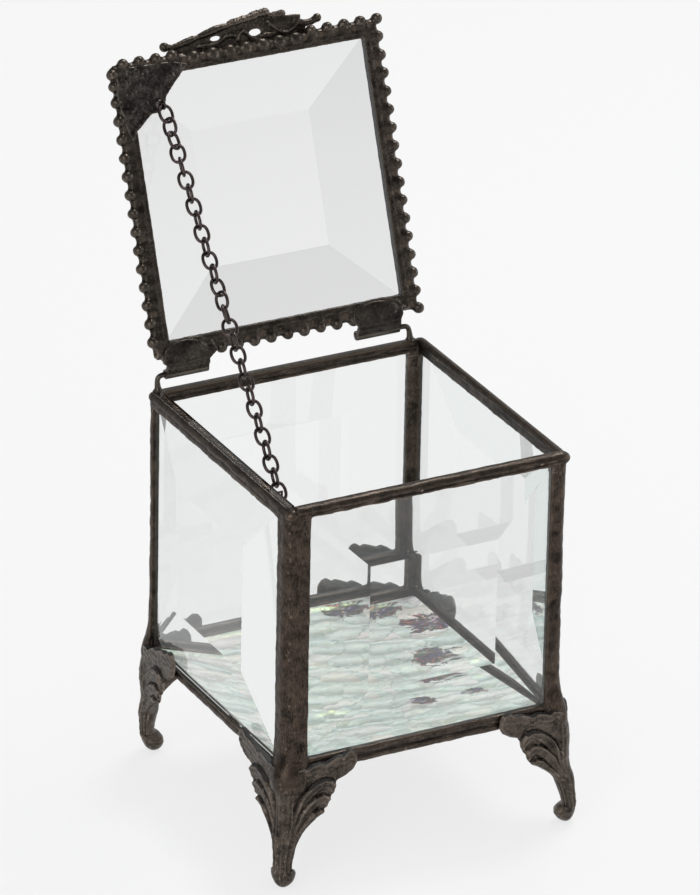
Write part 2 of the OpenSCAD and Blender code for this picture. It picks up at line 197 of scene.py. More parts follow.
def patina(name, dark, mid, light, rough=(0.26, 0.55), wear=0.5, grain=1, bump=0.05, run=(1, 1, 0.2),
           amount=0.6, pits=0):
    """Dark patina over metal: blotches, rubbed streaks along run, worn ridges and, where set, fine pits."""
    m, t, p = new_material(name, Metallic=0.9)
    v = coords(t)
    blotch = noise_tex(t, v, 0.3, 4, 0.62, 0.6)
    fine = noise_tex(t, coords(t, run), 2.4 * grain, 6, 0.72, 0.5)
    speck = noise_tex(t, v, 3.2 * grain, 3, 0.8)
    base = ramp(t, blotch, (0.36, dark), (0.64, mid))
    rubbed = ramp(t, mix(t, fine, speck, 0.35), (0.47, 0), (0.66, 1))
    patch = ramp(t, noise_tex(t, v, 0.14, 3, 0.6, 0.8), (0.36, 0.1), (0.66, 1))
    ridges = node(t, "NewGeometry").outputs["Pointiness"]
    edge = ramp(t, ridges, (0.5, 0), (0.57, 1))
    hollow = ramp(t, ridges, (0.42, 0), (0.49, 1))
    worn = mix(t, base, light, faded(t, mix(t, rubbed, patch, 1, "MULTIPLY"), amount))
    worn = mix(t, worn, light, faded(t, edge, wear))
    put(t, mix(t, dark, worn, hollow), p.inputs["Base Color"])
    put(t, ramp(t, fine, (0.3, rough[1]), (0.75, rough[0])), p.inputs["Roughness"])
    height = mix(t, fine, speck, 0.3 + pits)
    put(t, node(t, "Bump", Strength=1, Distance=bump * MM, Height=height).outputs[0], p.inputs["Normal"])
    return m


LIGHT = (0.3, 0.23, 0.18)
RIM_DARK, RIM_MID = (0.006, 0.005, 0.0045), (0.023, 0.018, 0.015)
EVEN = (1, 1, 1)
SOLDER = patina("solder_patina", (0.008, 0.0062, 0.0052), (0.058, 0.042, 0.032), LIGHT, wear=0.25, amount=0.5,
                grain=1.5)
SOLDER_X = patina("solder_patina_across", RIM_DARK, RIM_MID, LIGHT, run=(0.07, 1, 1), wear=0.7)
SOLDER_Y = patina("solder_patina_deep", RIM_DARK, RIM_MID, LIGHT, run=(1, 0.07, 1), wear=0.7)
FOIL = patina("foil_patina", (0.006, 0.0055, 0.0055), (0.022, 0.019, 0.017), (0.16, 0.12, 0.09),
              rough=(0.25, 0.5))
CAST = patina("cast_patina", (0.015, 0.0122, 0.0104), (0.088, 0.071, 0.058), (0.27, 0.222, 0.182), wear=0.6,
              rough=(0.24, 0.5), run=EVEN, pits=0.2)
EDGING = patina("edging_patina", (0.011, 0.009, 0.0078), (0.047, 0.038, 0.031), (0.32, 0.265, 0.215),
                wear=0.4, rough=(0.2, 0.42), run=EVEN, amount=0.4)
HINGE = patina("hinge_patina", (0.01, 0.0085, 0.0078), (0.04, 0.033, 0.028), (0.28, 0.235, 0.195), wear=0.3,
               rough=(0.2, 0.42), run=EVEN, amount=0.5)
CHAIN = patina("chain_patina", (0.008, 0.0068, 0.0066), (0.025, 0.019, 0.018), (0.15, 0.115, 0.11),
               rough=(0.2, 0.4))
PLATE = patina("plate_patina", (0.007, 0.0062, 0.006), (0.036, 0.031, 0.028), (0.36, 0.31, 0.27), wear=0.35,
               rough=(0.2, 0.45), run=EVEN, amount=0.3, grain=0.5, bump=0.03)


def clear_glass(name, tint_and_shade):
    """Tinted plate glass; on the bevels the tint also carries painted shade. Light that it has turned back
    inside leaves straight, past the bounce limit.
    """
    m, t, p = new_material(name, Base_Color=tint_and_shade, Roughness=0, IOR=1.52, Transmission_Weight=1)
    turned_back = maths(t, "GREATER_THAN", node(t, "LightPath").outputs["Glossy Depth"], 0.5)
    through = node(t, "BsdfTransparent", (0.94, 0.963, 0.957))
    surface(t, node(t, "MixShader", turned_back, p.outputs[0], through.outputs[0]).outputs[0])
    return m


def dull_black():
    """Grimy metal that takes no gleam: foil seen through the glass; also painted shade on the feet's upper
    edges against a wall.
    """
    m, t, p = new_material("foil_back", Roughness=0.65)
    grime = noise_tex(t, coords(t), 0.9, 4, 0.7)
    colour = ramp(t, grime, (0.4, (0.01, 0.0095, 0.0095)), (0.62, (0.022, 0.02, 0.019)),
                  (0.7, (0.1, 0.085, 0.07)))
    put(t, colour, p.inputs["Base Color"])
    return m


def pearl_glass():
    """Rippled glass with an iridescent film: pale overlapping scales and a few dark plum patches."""
    m, t, p = new_material("rippled_iridescent_glass", Roughness=0.32, IOR=1.5, Thin_Film_Thickness=420,
                           Thin_Film_IOR=1.8)
    plain, wide = coords(t), coords(t, (1, 1.7, 1))
    wobble = node(t, "TexNoise", Vector=plain, Scale=0.1, Detail=3, Roughness=0.6).outputs["Color"]
    drift = vectors(t, "SCALE", wobble, Scale=9)
    moved = vectors(t, "ADD", wide, drift)
    cells, rims = (node(t, "TexVoronoi", Vector=moved, Scale=0.105, feature=f)
                   for f in ("F1", "DISTANCE_TO_EDGE"))
    each = node(t, "SeparateColor", cells.outputs["Color"]).outputs[0]
    hue = ramp(t, each, (0.1, (0.58, 0.7, 0.71)), (0.3, (0.8, 0.86, 0.84)), (0.45, (0.92, 0.92, 0.91)),
               (0.58, (0.88, 0.8, 0.83)), (0.7, (0.93, 0.87, 0.8)), (0.85, (0.74, 0.86, 0.83)))
    # painted shade: each scale falls from a light upper side to a darker lower one, as light falls on a
    # ripple
    fall = vectors(t, "SUBTRACT", moved, cells.outputs["Position"])
    slope = vectors(t, "DOT_PRODUCT", fall, (0.04, 0.13, 0), result="Value")
    painted_scale_shade = ramp(t, maths(t, "ADD", slope, 0.5), (0.05, 0.56), (0.35, 0.8), (0.6, 0.95), (0.95, 0.74))
    fine = noise_tex(t, wide, 0.17, 3, 0.5, 2)
    film = ramp(t, fine, (0.27, (0.1, 0.06, 0.12)), (0.33, (0.5, 0.6, 0.64)), (0.41, (0.8, 0.92, 0.9)),
                (0.5, (0.96, 0.96, 0.95)), (0.58, (0.94, 0.84, 0.83)), (0.64, (0.94, 0.92, 0.84)),
                (0.71, (0.62, 0.78, 0.8)), (0.77, (0.12, 0.06, 0.12)))
    look = mix(t, mix(t, hue, film, 0.4), painted_scale_shade, 1, "MULTIPLY")
    # dark rims round some of the scales
    thin = ramp(t, noise_tex(t, plain, 0.16, 3, 0.6), (0.42, 0), (0.62, 0.7))
    rim = ramp(t, rims.outputs["Distance"], (0, 1), (0.035, 0))
    look = mix(t, look, (0.22, 0.27, 0.27), faded(t, thin, rim))
    # a few patches where the film went dark plum: middle x and y, radius
    near = None
    for x, y, r in ((33, 21, 12.5), (25, 3, 12), (24, 33, 9), (-2, 33, 9.5), (12, -12, 6.5), (27, -13, 6.5)):
        middle = (x, (y - Y_MID) * 1.5, 0)
        away = vectors(t, "DISTANCE", coords(t, (1, 1.5, 0)), middle, result="Value")
        spot = node(t, "MapRange", away, r, 0, -1.2, -0.2).outputs[0]
        near = spot if near is None else maths(t, "MAXIMUM", near, spot)
    blot = maths(t, "MULTIPLY_ADD", noise_tex(t, coords(t, (1, 1.5, 1)), 0.16, 8, 0.68, 1.2), 2.4, near)
    plum = ramp(t, fine, (0.34, (0.035, 0.032, 0.045)), (0.43, (0.16, 0.08, 0.22)),
                (0.49, (0.04, 0.035, 0.045)), (0.555, (0.06, 0.045, 0.055)), (0.575, (0.62, 0.17, 0.24)),
                (0.595, (0.09, 0.07, 0.09)), (0.7, (0.08, 0.11, 0.12)))
    look = mix(t, look, plum, ramp(t, blot, (0.44, 0), (0.46, 1)))
    # hairlines along the ripples
    line = ramp(t, noise_tex(t, coords(t, (1, 2.2, 1)), 0.16, 3, 0.55, 3.2), (0.488, 0), (0.5, 1), (0.512, 0))
    where = ramp(t, noise_tex(t, plain, 0.12, 2, 0.5), (0.5, 0), (0.6, 1))
    look = mix(t, look, mix(t, look, (0.16, 0.17, 0.16), where), line)
    # painted highlight: pale white streaks mixed into the colour, standing in for glints on the ripples
    gleam = ramp(t, noise_tex(t, coords(t, (1, 2.6, 1)), 0.2, 3, 0.5, 1.2), (0.58, 0), (0.64, 1))
    put(t, mix(t, look, grey(1), faded(t, gleam, 0.4)), p.inputs["Base Color"])
    return m


BLACK = dull_black()
GLASS = clear_glass("plate_glass", (0.925, 0.93, 0.928))
# painted shade: the bevels' glass is a little darker than the plain glass, standing in for the darker look
# that refraction gives the facets
BEVEL = clear_glass("bevelled_glass", (0.905, 0.915, 0.912))
PEARL = pearl_glass()


def paint(obj, material):
    """One material for all of obj."""
    obj.data.materials.clear()
    obj.data.materials.append(material)


# ---------------------------------------------------------------- mesh helpers
def placed(name, mesh, body, material, stands_for):
    """An object of that mesh that rides on body and takes the place of the nodes it stands for."""
    obj = bpy.data.objects.new(name, mesh)
    bpy.context.scene.collection.objects.link(obj)
    paint(obj, material)
    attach(obj, body)
    if stands_for:
        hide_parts(*stands_for)
    return obj


def piece(name, shape, place, body, material, stands_for=(), smooth=40):
    """A mesh from a shape's millimetre vertices and faces, in the frame of place, riding on body."""
    mesh = bpy.data.meshes.new(name)
    mesh.from_pydata([place @ Vector(v) * MM for v in shape[0]], [], shape[1])
    bm = bmesh.new()
    bm.from_mesh(mesh)
    bmesh.ops.remove_doubles(bm, verts=bm.verts, dist=1e-7)
    bmesh.ops.recalc_face_normals(bm, faces=bm.faces)
    bm.to_mesh(mesh)
    bm.free()
    mesh.validate()
    mesh.shade_smooth()
    if smooth < 180:
        mesh.set_sharp_from_angle(angle=radians(smooth))
    return placed(name, mesh, body, material, stands_for)


def weld(name, shapes, place, body, material, stands_for, voxel=0.25, soften=4, wander=0.07, size=2,
         hidden=None):
    """Overlapping closed shapes run together like solder: joined, softened and rippled along their normals.

    Faces for which hidden(centres, normals) holds lie against the glass and are dull black.
    """
    mesh = bpy.data.meshes.new(name + "_draft")
    verts, faces = merged(shapes)
    mesh.from_pydata(verts, [], faces)
    draft = bpy.data.objects.new(name + "_draft", mesh)
    bpy.context.scene.collection.objects.link(draft)
    join = draft.modifiers.new("join", "REMESH")
    join.mode, join.voxel_size = "VOXEL", voxel
    relax = draft.modifiers.new("relax", "SMOOTH")
    relax.factor, relax.iterations = 0.5, soften
    out = bpy.data.meshes.new_from_object(draft.evaluated_get(bpy.context.evaluated_depsgraph_get()))
    bpy.data.objects.remove(draft)
    n = len(out.vertices)
    co, normal = np.empty(n * 3), np.empty(n * 3)
    out.vertices.foreach_get("co", co)
    out.vertex_normals.foreach_get("vector", normal)
    co, normal = co.reshape(-1, 3), normal.reshape(-1, 3)
    w = np.array([ripple(*c, size, 2) + 0.5 * ripple(*c, size / 3, 6) for c in co.tolist()])
    co = co + normal * (w * wander)[:, None]
    m = np.array(place)
    out.vertices.foreach_set("co", ((co @ m[:3, :3].T + m[:3, 3]) * MM).ravel())
    out.update()
    out.shade_smooth()
    out.name = name
    obj = placed(name, out, body, material, stands_for)
    if hidden:
        corner = np.empty(len(out.loops), dtype=np.int32)
        out.loops.foreach_get("vertex_index", corner)
        quad = co[corner.reshape(-1, 4)]
        facing = np.cross(quad[:, 2] - quad[:, 0], quad[:, 3] - quad[:, 1])
        facing /= np.maximum(np.linalg.norm(facing, axis=1), 1e-9)[:, None]
        out.materials.append(BLACK)
        out.polygons.foreach_set("material_index", hidden(quad.mean(1), facing).astype(np.int32))
    return obj


def ripple(x, y, z, size=1, seed=0):
    """Smooth wander, about -1 to 1, over a length of size millimetres."""
    return noise.noise(Vector((x / size + seed, y / size + 1.7 * seed, z / size - seed)))


def span(a, b, step):
    """Even stations from a to b, about step apart."""
    n = max(2, int(round(abs(b - a) / step)) + 1)
    return [a + (b - a) * i / (n - 1) for i in range(n)]


def rounded(points, step):
    """A closed outline with its corners cut once, then spaced about evenly."""
    p = [Vector(q) for q in points]
    p = [q for a, b in zip(p, p[1:] + p[:1]) for q in (a.lerp(b, 0.25), a.lerp(b, 0.75))]
    total = sum((b - a).length for a, b in zip(p, p[1:] + p[:1]))
    n = max(8, int(total / step))
    out, walked, target = [], 0, 0
    for a, b in zip(p, p[1:] + p[:1]):
        d = (b - a).length
        while target <= walked + d + 1e-9 and len(out) < n:
            out.append(tuple(a.lerp(b, (target - walked) / d if d else 0)))
            target += total / n
        walked += d
    return out


def loft(rings, closed=True):
    """Faces of a closed tube through rings of equal length, with flat ends."""
    n = len(rings[0])
    verts = [p for ring in rings for p in ring]
    faces = [(i * n + j, i * n + (j + 1) % n, (i + 1) * n + (j + 1) % n, (i + 1) * n + j)
             for i in range(len(rings) - 1) for j in range(n)]
    if closed:
        faces.append(tuple(range(n))[::-1])
        faces.append(tuple((len(rings) - 1) * n + j for j in range(n)))
    return verts, faces


def merged(parts):
    """Several shapes as one."""
    verts, faces = [], []
    for v, f in parts:
        k = len(verts)
        verts += v
        faces += [tuple(i + k for i in face) for face in f]
    return verts, faces


def ball(at, r, scale=(1, 1, 1), rows=10, cols=16):
    rings = []
    for i in range(1, rows):
        th = pi * i / rows
        rings.append([(at[0] + r * scale[0] * sin(th) * cos(2 * pi * j / cols),
                       at[1] + r * scale[1] * sin(th) * sin(2 * pi * j / cols),
                       at[2] + r * scale[2] * cos(th)) for j in range(cols)])
    return loft(rings)


def slab(outline, low, high):
    """A flat sheet of that outline."""
    return loft([[(x, y, z) for x, y in outline] for z in (low, high)])


def tube(path, radii, ring=16, step=0.3, knurl=0):
    """A closed tube with round ends along a smoothed path; knurl pits it like rope."""
    p = np.array(path, float)
    d = np.r_[0, np.cumsum(np.linalg.norm(np.diff(p, axis=0), axis=1))]
    n = max(4, int(d[-1] / step))
    t = np.linspace(0, d[-1], n + 1)
    c = np.stack([np.interp(t, d, p[:, k]) for k in range(3)], -1)
    for _ in range(6):
        c[1:-1] = 0.25 * c[:-2] + 0.5 * c[1:-1] + 0.25 * c[2:]
    rad = np.interp(t, d, radii)
    tan = np.gradient(c, axis=0)
    tan /= np.linalg.norm(tan, axis=1)[:, None]
    across = np.cross(tan, (0, 0, 1))
    across /= np.linalg.norm(across, axis=1)[:, None]
    nor = np.cross(across, tan)
    rings = []
    caps = [0.05, 0.45, 0.75, 0.93]
    for i, q in [(0, q) for q in caps] + [(i, 1) for i in range(n + 1)] + [(n, q) for q in caps[::-1]]:
        at = c[i] + tan[i] * rad[i] * sqrt(1 - q * q) * (-1 if i == 0 else 1)
        pts = []
        for k in range(ring):
            a = 2 * pi * k / ring
            way = across[i] * cos(a) + nor[i] * sin(a)
            r = rad[i] * q
            if knurl:
                r += knurl * ripple(*(at + r * way), 0.42, 3)
            pts.append(tuple(at + way * r))
        rings.append(pts)
    return loft(rings)


# ---------------------------------------------------------------- feet
def smooth(x, a, b):
    """An eased rise from 0 at a to 1 at b."""
    t = np.clip((x - a) / (b - a), 0, 1)
    return t * t * (3 - 2 * t)


def along(points, t):
    """Points at the shares t of a polyline's length."""
    p = np.array(points, float)
    d = np.r_[0, np.cumsum(np.hypot(*np.diff(p, axis=0).T))]
    return np.stack([np.interp(t * d[-1], d, p[:, k]) for k in (0, 1)], -1)


def distance(u, w, points):
    """Distance of each (u, w) from a polyline."""
    p = np.array(points, float)
    best = np.full(u.shape, 1e9)
    for (ax, ay), (bx, by) in zip(p, p[1:]):
        dx, dy = bx - ax, by - ay
        t = np.clip(((u - ax) * dx + (w - ay) * dy) / (dx * dx + dy * dy), 0, 1)
        best = np.minimum(best, np.hypot(u - ax - t * dx, w - ay - t * dy))
    return best


def fbm(x, y, z, size, seed=0):
    """The ripple at each point of three arrays."""
    flat = [ripple(a, b, c, size, seed) for a, b, c in zip(x.ravel(), y.ravel(), z.ravel())]
    return np.array(flat).reshape(x.shape)


# one leaf, unrolled: distance from the corner, height over the underside of the base
LEAF_END = -25
LEAF_TOP = [(0, 3.2), (2, 3.4), (3.4, 4.1), (4.9, 4.4), (6.2, 3.6), (7.8, 4.2), (9.8, 4.5), (11.4, 3.7),
            (13.2, 4.5), (15.2, 5.2), (16.4, 4.9), (18.2, 6.1), (19.7, 5.6)]
LEAF_EDGE = [(19.7, 5.6), (20.8, 4), (20.9, 1.7), (19.9, -0.1), (17.6, -1.6), (15.6, -2.3), (15, -3.3),
             (14.8, -5.2), (13.9, -7), (13.2, -7.7), (12.8, -9.2), (11.4, -11), (9.6, -12), (8.3, -13.4),
             (6.9, -15.4), (5.6, -17.2), (4.7, -19), (4.2, -21.5), (4, LEAF_END)]
ARCHES = [
    [(1.6, -16), (2.3, -11.5), (3.3, -8), (4.8, -5), (6.8, -3), (9, -1.4), (11.3, -0.8), (13.4, -1.5),
     (15.4, -3.3)],
    [(2.4, -18), (3.2, -13), (4.3, -10), (6.4, -7.6), (8.8, -5.7), (11.2, -5), (13.2, -6.1), (14.4, -8)],
    [(3.4, -19.5), (4.4, -15.5), (6, -12.4), (8.2, -10), (10.2, -9.2), (12, -10), (12.6, -10.8)],
]
LEG = np.array([  # height over ground, half-width across, half-depth, centre out from the middle planes
    (0, 0.55, 0.5, 42), (0.15, 1.1, 1.1, 41.9), (0.6, 1.75, 1.7, 41.8), (1.4, 2.5, 2.3, 41.7),
    (2.4, 3, 2.75, 41.6), (3.4, 3.25, 2.85, 41.7), (4.2, 3.15, 2.6, 41.9), (4.7, 2.9, 2.25, 42.2),
    (5.2, 2.6, 1.95, 42.4), (6, 2.45, 1.85, 42.4), (8, 2.55, 2, 42.1), (11, 2.95, 2.45, 41.6),
    (14, 3.5, 3.1, 41),
])
LEAF_OUT = 42.85  # outer face of a leaf, from the middle planes
LEAF_T = 1.4
SWING = radians(104)  # how far round the leg the leaf's outer face runs


def leaf_relief(u, w):
    """Height of the shell-like lobes and their grooves over the face of a leaf."""
    d = distance(u, w, LEAF_TOP)
    bend = 0.45 * fbm(u, w, 0 * u, 4.5, 2)
    lobed = np.zeros(u.shape, bool)
    crease = np.zeros(u.shape)
    for arch in ARCHES:
        a = np.array(arch)
        inside = (w < np.interp(u, a[:, 0], a[:, 1], left=-99)) & (u > a[0, 0])
        from_arch = distance(u, w, arch)
        crease = np.maximum(crease, np.where(inside, 0, np.exp(-from_arch / 0.8)))
        d = np.where(inside, from_arch, d)
        lobed |= inside
    lip = smooth(d, 0, 0.55) * np.exp(-np.maximum(d - 0.5, 0) / 3.2) * np.where(lobed, 0.75, 0.35)
    groove = 0.5 + 0.5 * np.cos(2 * np.pi * (d + bend - 0.15) / 1.5)
    groove *= smooth(d, 0.5, 1.2) * (1 - smooth(d, 3.4, 5.4))
    groove *= 0.65 + 0.35 * fbm(u, w, 0 * u, 2.4, 5)
    return 0.1 + lip - 0.22 * groove - 0.5 * crease


def leg_at(z):
    """Half-width, half-depth and centre of the leg at a height."""
    return [np.interp(z, LEG[:, 0], LEG[:, k]) for k in (1, 2, 3)]


def on_leg(wide, deep, out, angle):
    """Point at that angle from the outward diagonal of a leg."""
    k = sqrt(0.5)
    across, outward = k * (wide * np.sin(angle)), k * (deep * np.cos(angle))
    return -out - outward + across, -out - outward - across


def foot(name, degrees, lean=(0, 0), reach=1, rise=0):
    """A cast foot: two shell-lobed leaves that meet at the corner and run down into a leg with a toe.

    The toe is set lean off, the second leaf is drawn out by reach, and the far tops stand higher by rise.
    """
    cols, rows, leg_rows, every = 84, 150, 26, 4
    a = np.linspace(0, 1, cols + 1) ** 0.92
    b = np.linspace(0, 1, rows + 1)
    top, edge = along(LEAF_TOP, a), along(LEAF_EDGE, b)
    spine = np.stack([np.zeros_like(b), 2 + (LEAF_END - 2) * b], -1)
    low = np.stack([4 * a, np.full_like(a, LEAF_END)], -1)
    A, B = a[None, :, None], b[:, None, None]
    uw = ((1 - B) * top[None] + B * low[None] + (1 - A) * spine[:, None] + A * edge[:, None]
          - (1 - A) * (1 - B) * top[0] - A * (1 - B) * top[-1] - (1 - A) * B * low[0] - A * B * low[-1])
    u, w = uw[..., 0], uw[..., 1]
    z = STAND + w + rise * smooth(u, 5, 12) * smooth(w, -5, 3)
    flute = 0.22 * np.exp(-(((u - 2.5 - 0.02 * w) / 0.32) ** 2)) + 0.12 * np.exp(-(((u - 1.2) / 0.4) ** 2))
    own = smooth(u, 2.2, 4.2)
    relief = own * leaf_relief(u, w) + (1 - own) * (0.05 + flute * smooth(-w, -1, 3))
    to_edge = np.minimum(distance(u, w, LEAF_EDGE), distance(u, w, LEAF_TOP) + 0.15)
    relief -= 0.75 * (1 - smooth(to_edge, 0, 0.75)) ** 2
    to_leg = smooth(-w, 11.5, 19)
    wide, deep, centre = leg_at(z)
    turn_r = 2.6 + 2 * smooth(w, -6, 1)

    def shell(u, n, angle, leg_n, sign, cut=1):
        """Points n over a leaf, at arc length u from the corner, that turn into points leg_n over the leg."""
        r, share, across, outward, out = (q[:, ::cut] for q in (turn_r, to_leg, wide, deep, centre))
        bend = r * pi / 4
        phi = radians(225) + sign * np.minimum(u, bend) / r
        x, y = r - LEAF_OUT + (r + n) * np.cos(phi), r - LEAF_OUT + (r + n) * np.sin(phi)
        past = np.maximum(u - bend, 0)
        leaf = (x + past, y) if sign > 0 else (x, y + reach * past)
        leg = on_leg(across + leg_n, outward + leg_n, out, angle)
        return [p * (1 - share) + q * share for p, q in zip(leaf, leg)]

    def around(left, right, right_in, left_in):
        """Rows that run over both outer faces and back over the inner ones."""
        return np.concatenate([left[:, :0:-1], right, right_in[:, ::-1], left_in[:, 1:]], 1)

    flutes = 0.16 * np.cos(7 * a[None] * pi)
    few = a[None, ::every]
    sides = {}
    for sign in (1, -1):
        angle = sign * SWING * a[None]
        x, y = shell(u, relief, angle, flutes, sign)
        grain = 0.1 * fbm(x, y, z, 1.1, 3.1 + degrees) + 0.05 * fbm(x, y, z, 0.45, 8)
        outer = shell(u, relief + grain, angle, flutes + grain, sign)
        inner = shell(u[:, ::every], -LEAF_T * (1 - 0.45 * few), sign * np.radians(180 - 76 * few), 0, sign,
                      every)
        sides[sign] = outer, inner
    (right, right_in), (left, left_in) = sides[1], sides[-1]
    X, Y = (around(left[k], right[k], right_in[k], left_in[k]) for k in (0, 1))
    Z = around(z, z, z[:, ::every], z[:, ::every])
    outside, inside = SWING * a[None], pi - radians(76) * few
    angle = around(-outside, outside, inside, -inside)[0]
    # the leg's lower end and the toe
    last = Z[-1]
    for t in np.linspace(0, 1, leg_rows + 1)[1:]:
        zz = last * (1 - t)
        wide, deep, out = leg_at(zz)
        lift = 0.5 * np.abs(np.sin(angle)) ** 3 * smooth(zz, 1.5, 4) * (1 - smooth(zz, 4.4, 5.6))
        fl = 0.16 * np.cos(7 * angle / SWING * pi) * smooth(zz, 3.4, 5) * (np.abs(angle) < 1.9)
        x, y = on_leg(wide + fl, deep + fl, out, angle)
        swell = 1 + 0.035 * fbm(x, y, zz, 1.2, 5 + degrees) * smooth(zz, 0.3, 1.2)
        X = np.vstack([X, (x + out) * swell - out])
        Y = np.vstack([Y, (y + out) * swell - out])
        Z = np.vstack([Z, np.maximum(zz + lift, 0)])
    nr, nc = X.shape
    off = np.clip(1 - Z / 22, 0, 1) ** 1.15
    X, Y = (np.maximum(q, -CAD_LIMIT) + by * off for q, by in zip((X, Y), lean))
    faces = [(r * nc + c, r * nc + (c + 1) % nc, (r + 1) * nc + (c + 1) % nc, (r + 1) * nc + c)
             for r in range(nr - 1) for c in range(nc)]
    # the top edge joins the outer face to the inner one
    n_in = cols // every
    for sign in (1, -1):
        for k in range(n_in):
            i = 2 * cols + 1 + n_in - sign * k
            faces.append((*(cols + sign * (k * every + j) for j in range(every + 1)), i - sign, i))
    faces.append(tuple((nr - 1) * nc + c for c in range(nc)))
    shape = (list(zip(X.ravel(), Y.ravel(), Z.ravel())), faces)
    obj = piece(name, shape, turned(degrees), "box", CAST, [name.replace("cast_", "")],
                smooth=60)
    obj.data.materials.append(BLACK)  # the upper edge against the wall, painted as shade: dull near-black so it shows no gleam
    for f in obj.data.polygons:
        if f.normal.z > 0.7 and f.center.z > 0.9 * STAND * MM:
            f.material_index = 1


# ---------------------------------------------------------------- plain nodes take their finish
for name, obj in NODES.items():
    if name == "base_glass":
        paint(obj, PEARL)
    elif name.endswith("_glass"):
        paint(obj, GLASS)
    elif name.endswith("_foil"):
        paint(obj, FOIL)
    elif name.startswith("chain_") and name != "chain_plate":
        paint(obj, CHAIN)
    elif name.startswith("hinge"):
        paint(obj, HINGE)
    elif name.startswith(("foot", "lid_ornament", "beads")):
        paint(obj, CAST)
    else:
        paint(obj, SOLDER)
    if name.endswith("_glass"):
        obj.visible_shadow = False


# ---------------------------------------------------------------- solder
# each wall: how far its solder reaches in over the glass (top, bottom, first end, last end), its
# outer and inner faces out from the inner side of the glass, and how far its rim and its skirt sag
WALLS = {
    "front": ((2.6, 2.25, 3.2, 3.2), 3.2, -0.4, 0, 0),
    "right": ((3.8, 1, 2.4, 0.9), 2.15, -0.4, 0.15, 0),
    "back": ((3.5, 2, 3.3, 1.8), 2.4, -0.4, 0.9, 0),
    "left": ((3.9, 0.35, 1.05, 3.3), 3.45, -0.16, 0.55, 0.5),
}
# each corner: how far the seam swells over the foot, over what height, and the height at which it ends
SEAMS = ((3.7, 4.6, 25), (2.7, 7, 26.4), (2.2, 5, 26.4), (2.5, 6.5, 26.4))
THIN = {"front": 0, "right": 0.6, "back": 0.6, "left": 0}  # how much thinner than the front pane each one is
# outlines across a wall: out from the inner face (0 inner, 1 outer), height; ends at 9 stop on the glass
RIM_RING = [(0.97, -9), (1, -2.9), (0.985, -2.35), (0.94, -1.95), (0.985, -1.55), (0.94, -1), (0.86, -0.55),
            (0.74, -0.22), (0.6, -0.05), (0.45, 0), (0.31, -0.04), (0.18, -0.2), (0.08, -0.5), (0.02, -0.95),
            (0, -1.4), (0.04, -1.7), (0, -2), (0, -2.9), (0.03, -9), (0.5, -9)]
SKIRT_RING = [(0.92, 9), (1, 1.6), (0.99, 0.9), (0.94, 0.35), (0.86, 0.02), (0.84, -0.2), (0.9, -0.5),
              (0.95, -1), (0.94, -1.6), (0.86, -2.05), (0.7, -2.3), (0.4, -2.4), (-0.1, -2.4), (-0.3, -2.2),
              (-0.34, -1.8), (-0.34, -0.1), (-0.24, 0.2), (-0.1, 0.4), (0, 0.9), (0, 1.6), (0.05, 9),
              (0.5, 9)]


def arc_points(cx, cy, r, a0, a1, n):
    angles = [radians(a0 + (a1 - a0) * k / n) for k in range(n + 1)]
    return [(cx + r * cos(a), cy + r * sin(a)) for a in angles]


def across(side, kind):
    """Outline of a wall's rim or skirt."""
    (top, low, _, _), outer, inner, sag, skirt_sag = WALLS[side]
    ring = []
    for t, z in RIM_RING if kind == "rim" else SKIRT_RING:
        out = inner + ((outer - inner) * t if t >= 0 else 4 * t)
        if kind == "rim":
            ring.append((out, max(Z_RIM + z - sag, Z_GLASS - top)))
        else:
            ring.append((out, min(Z_WALL + z, Z_WALL + low + (0.01 if z == 9 else 0)) - skirt_sag))
    return ring


def corner_ring(k, flare=0):
    """Outline of the seam at the first end of wall k, from the corner of the inner faces."""
    here, before = WALLS[SIDES[k][0]], WALLS[SIDES[k - 1][0]]
    a, b = here[0][2], before[0][3]
    base = ([(a, -1.5), (a, -0.93), (0.965 * a, -0.985), (0.84 * a, -1), (0.62 * a, -1), (0.4 * a, -0.99)]
            + arc_points(0.18, 0.18, 1.18, -90, -180, 16)
            + [(-0.99, 0.4 * b), (-1, 0.62 * b), (-1, 0.84 * b), (-0.985, 0.965 * b), (-0.93, b), (-1.5, b)])

    def stretched(v, thick):
        return v if v > 0.36 else (v * thick if v > -1.2 else -2.2) - flare

    ring = [(stretched(x, before[1]), stretched(y, here[1])) for x, y in base]
    return ring + [(0.2, b), (0.36, 0.97 * b), (0.42, 0.8 * b), (0.42, 0.56 * b), (0.46, 0.4), (0.6, 0.6),
                   (0.4, 0.46), (0.56 * a, 0.42), (0.8 * a, 0.42), (0.97 * a, 0.36), (a, 0.2)]


def in_pane(out):
    """Whether a distance from the middle lies between the faces of a pane."""
    return (out - HALF > 0.1) & (out - HALF < 1.9)


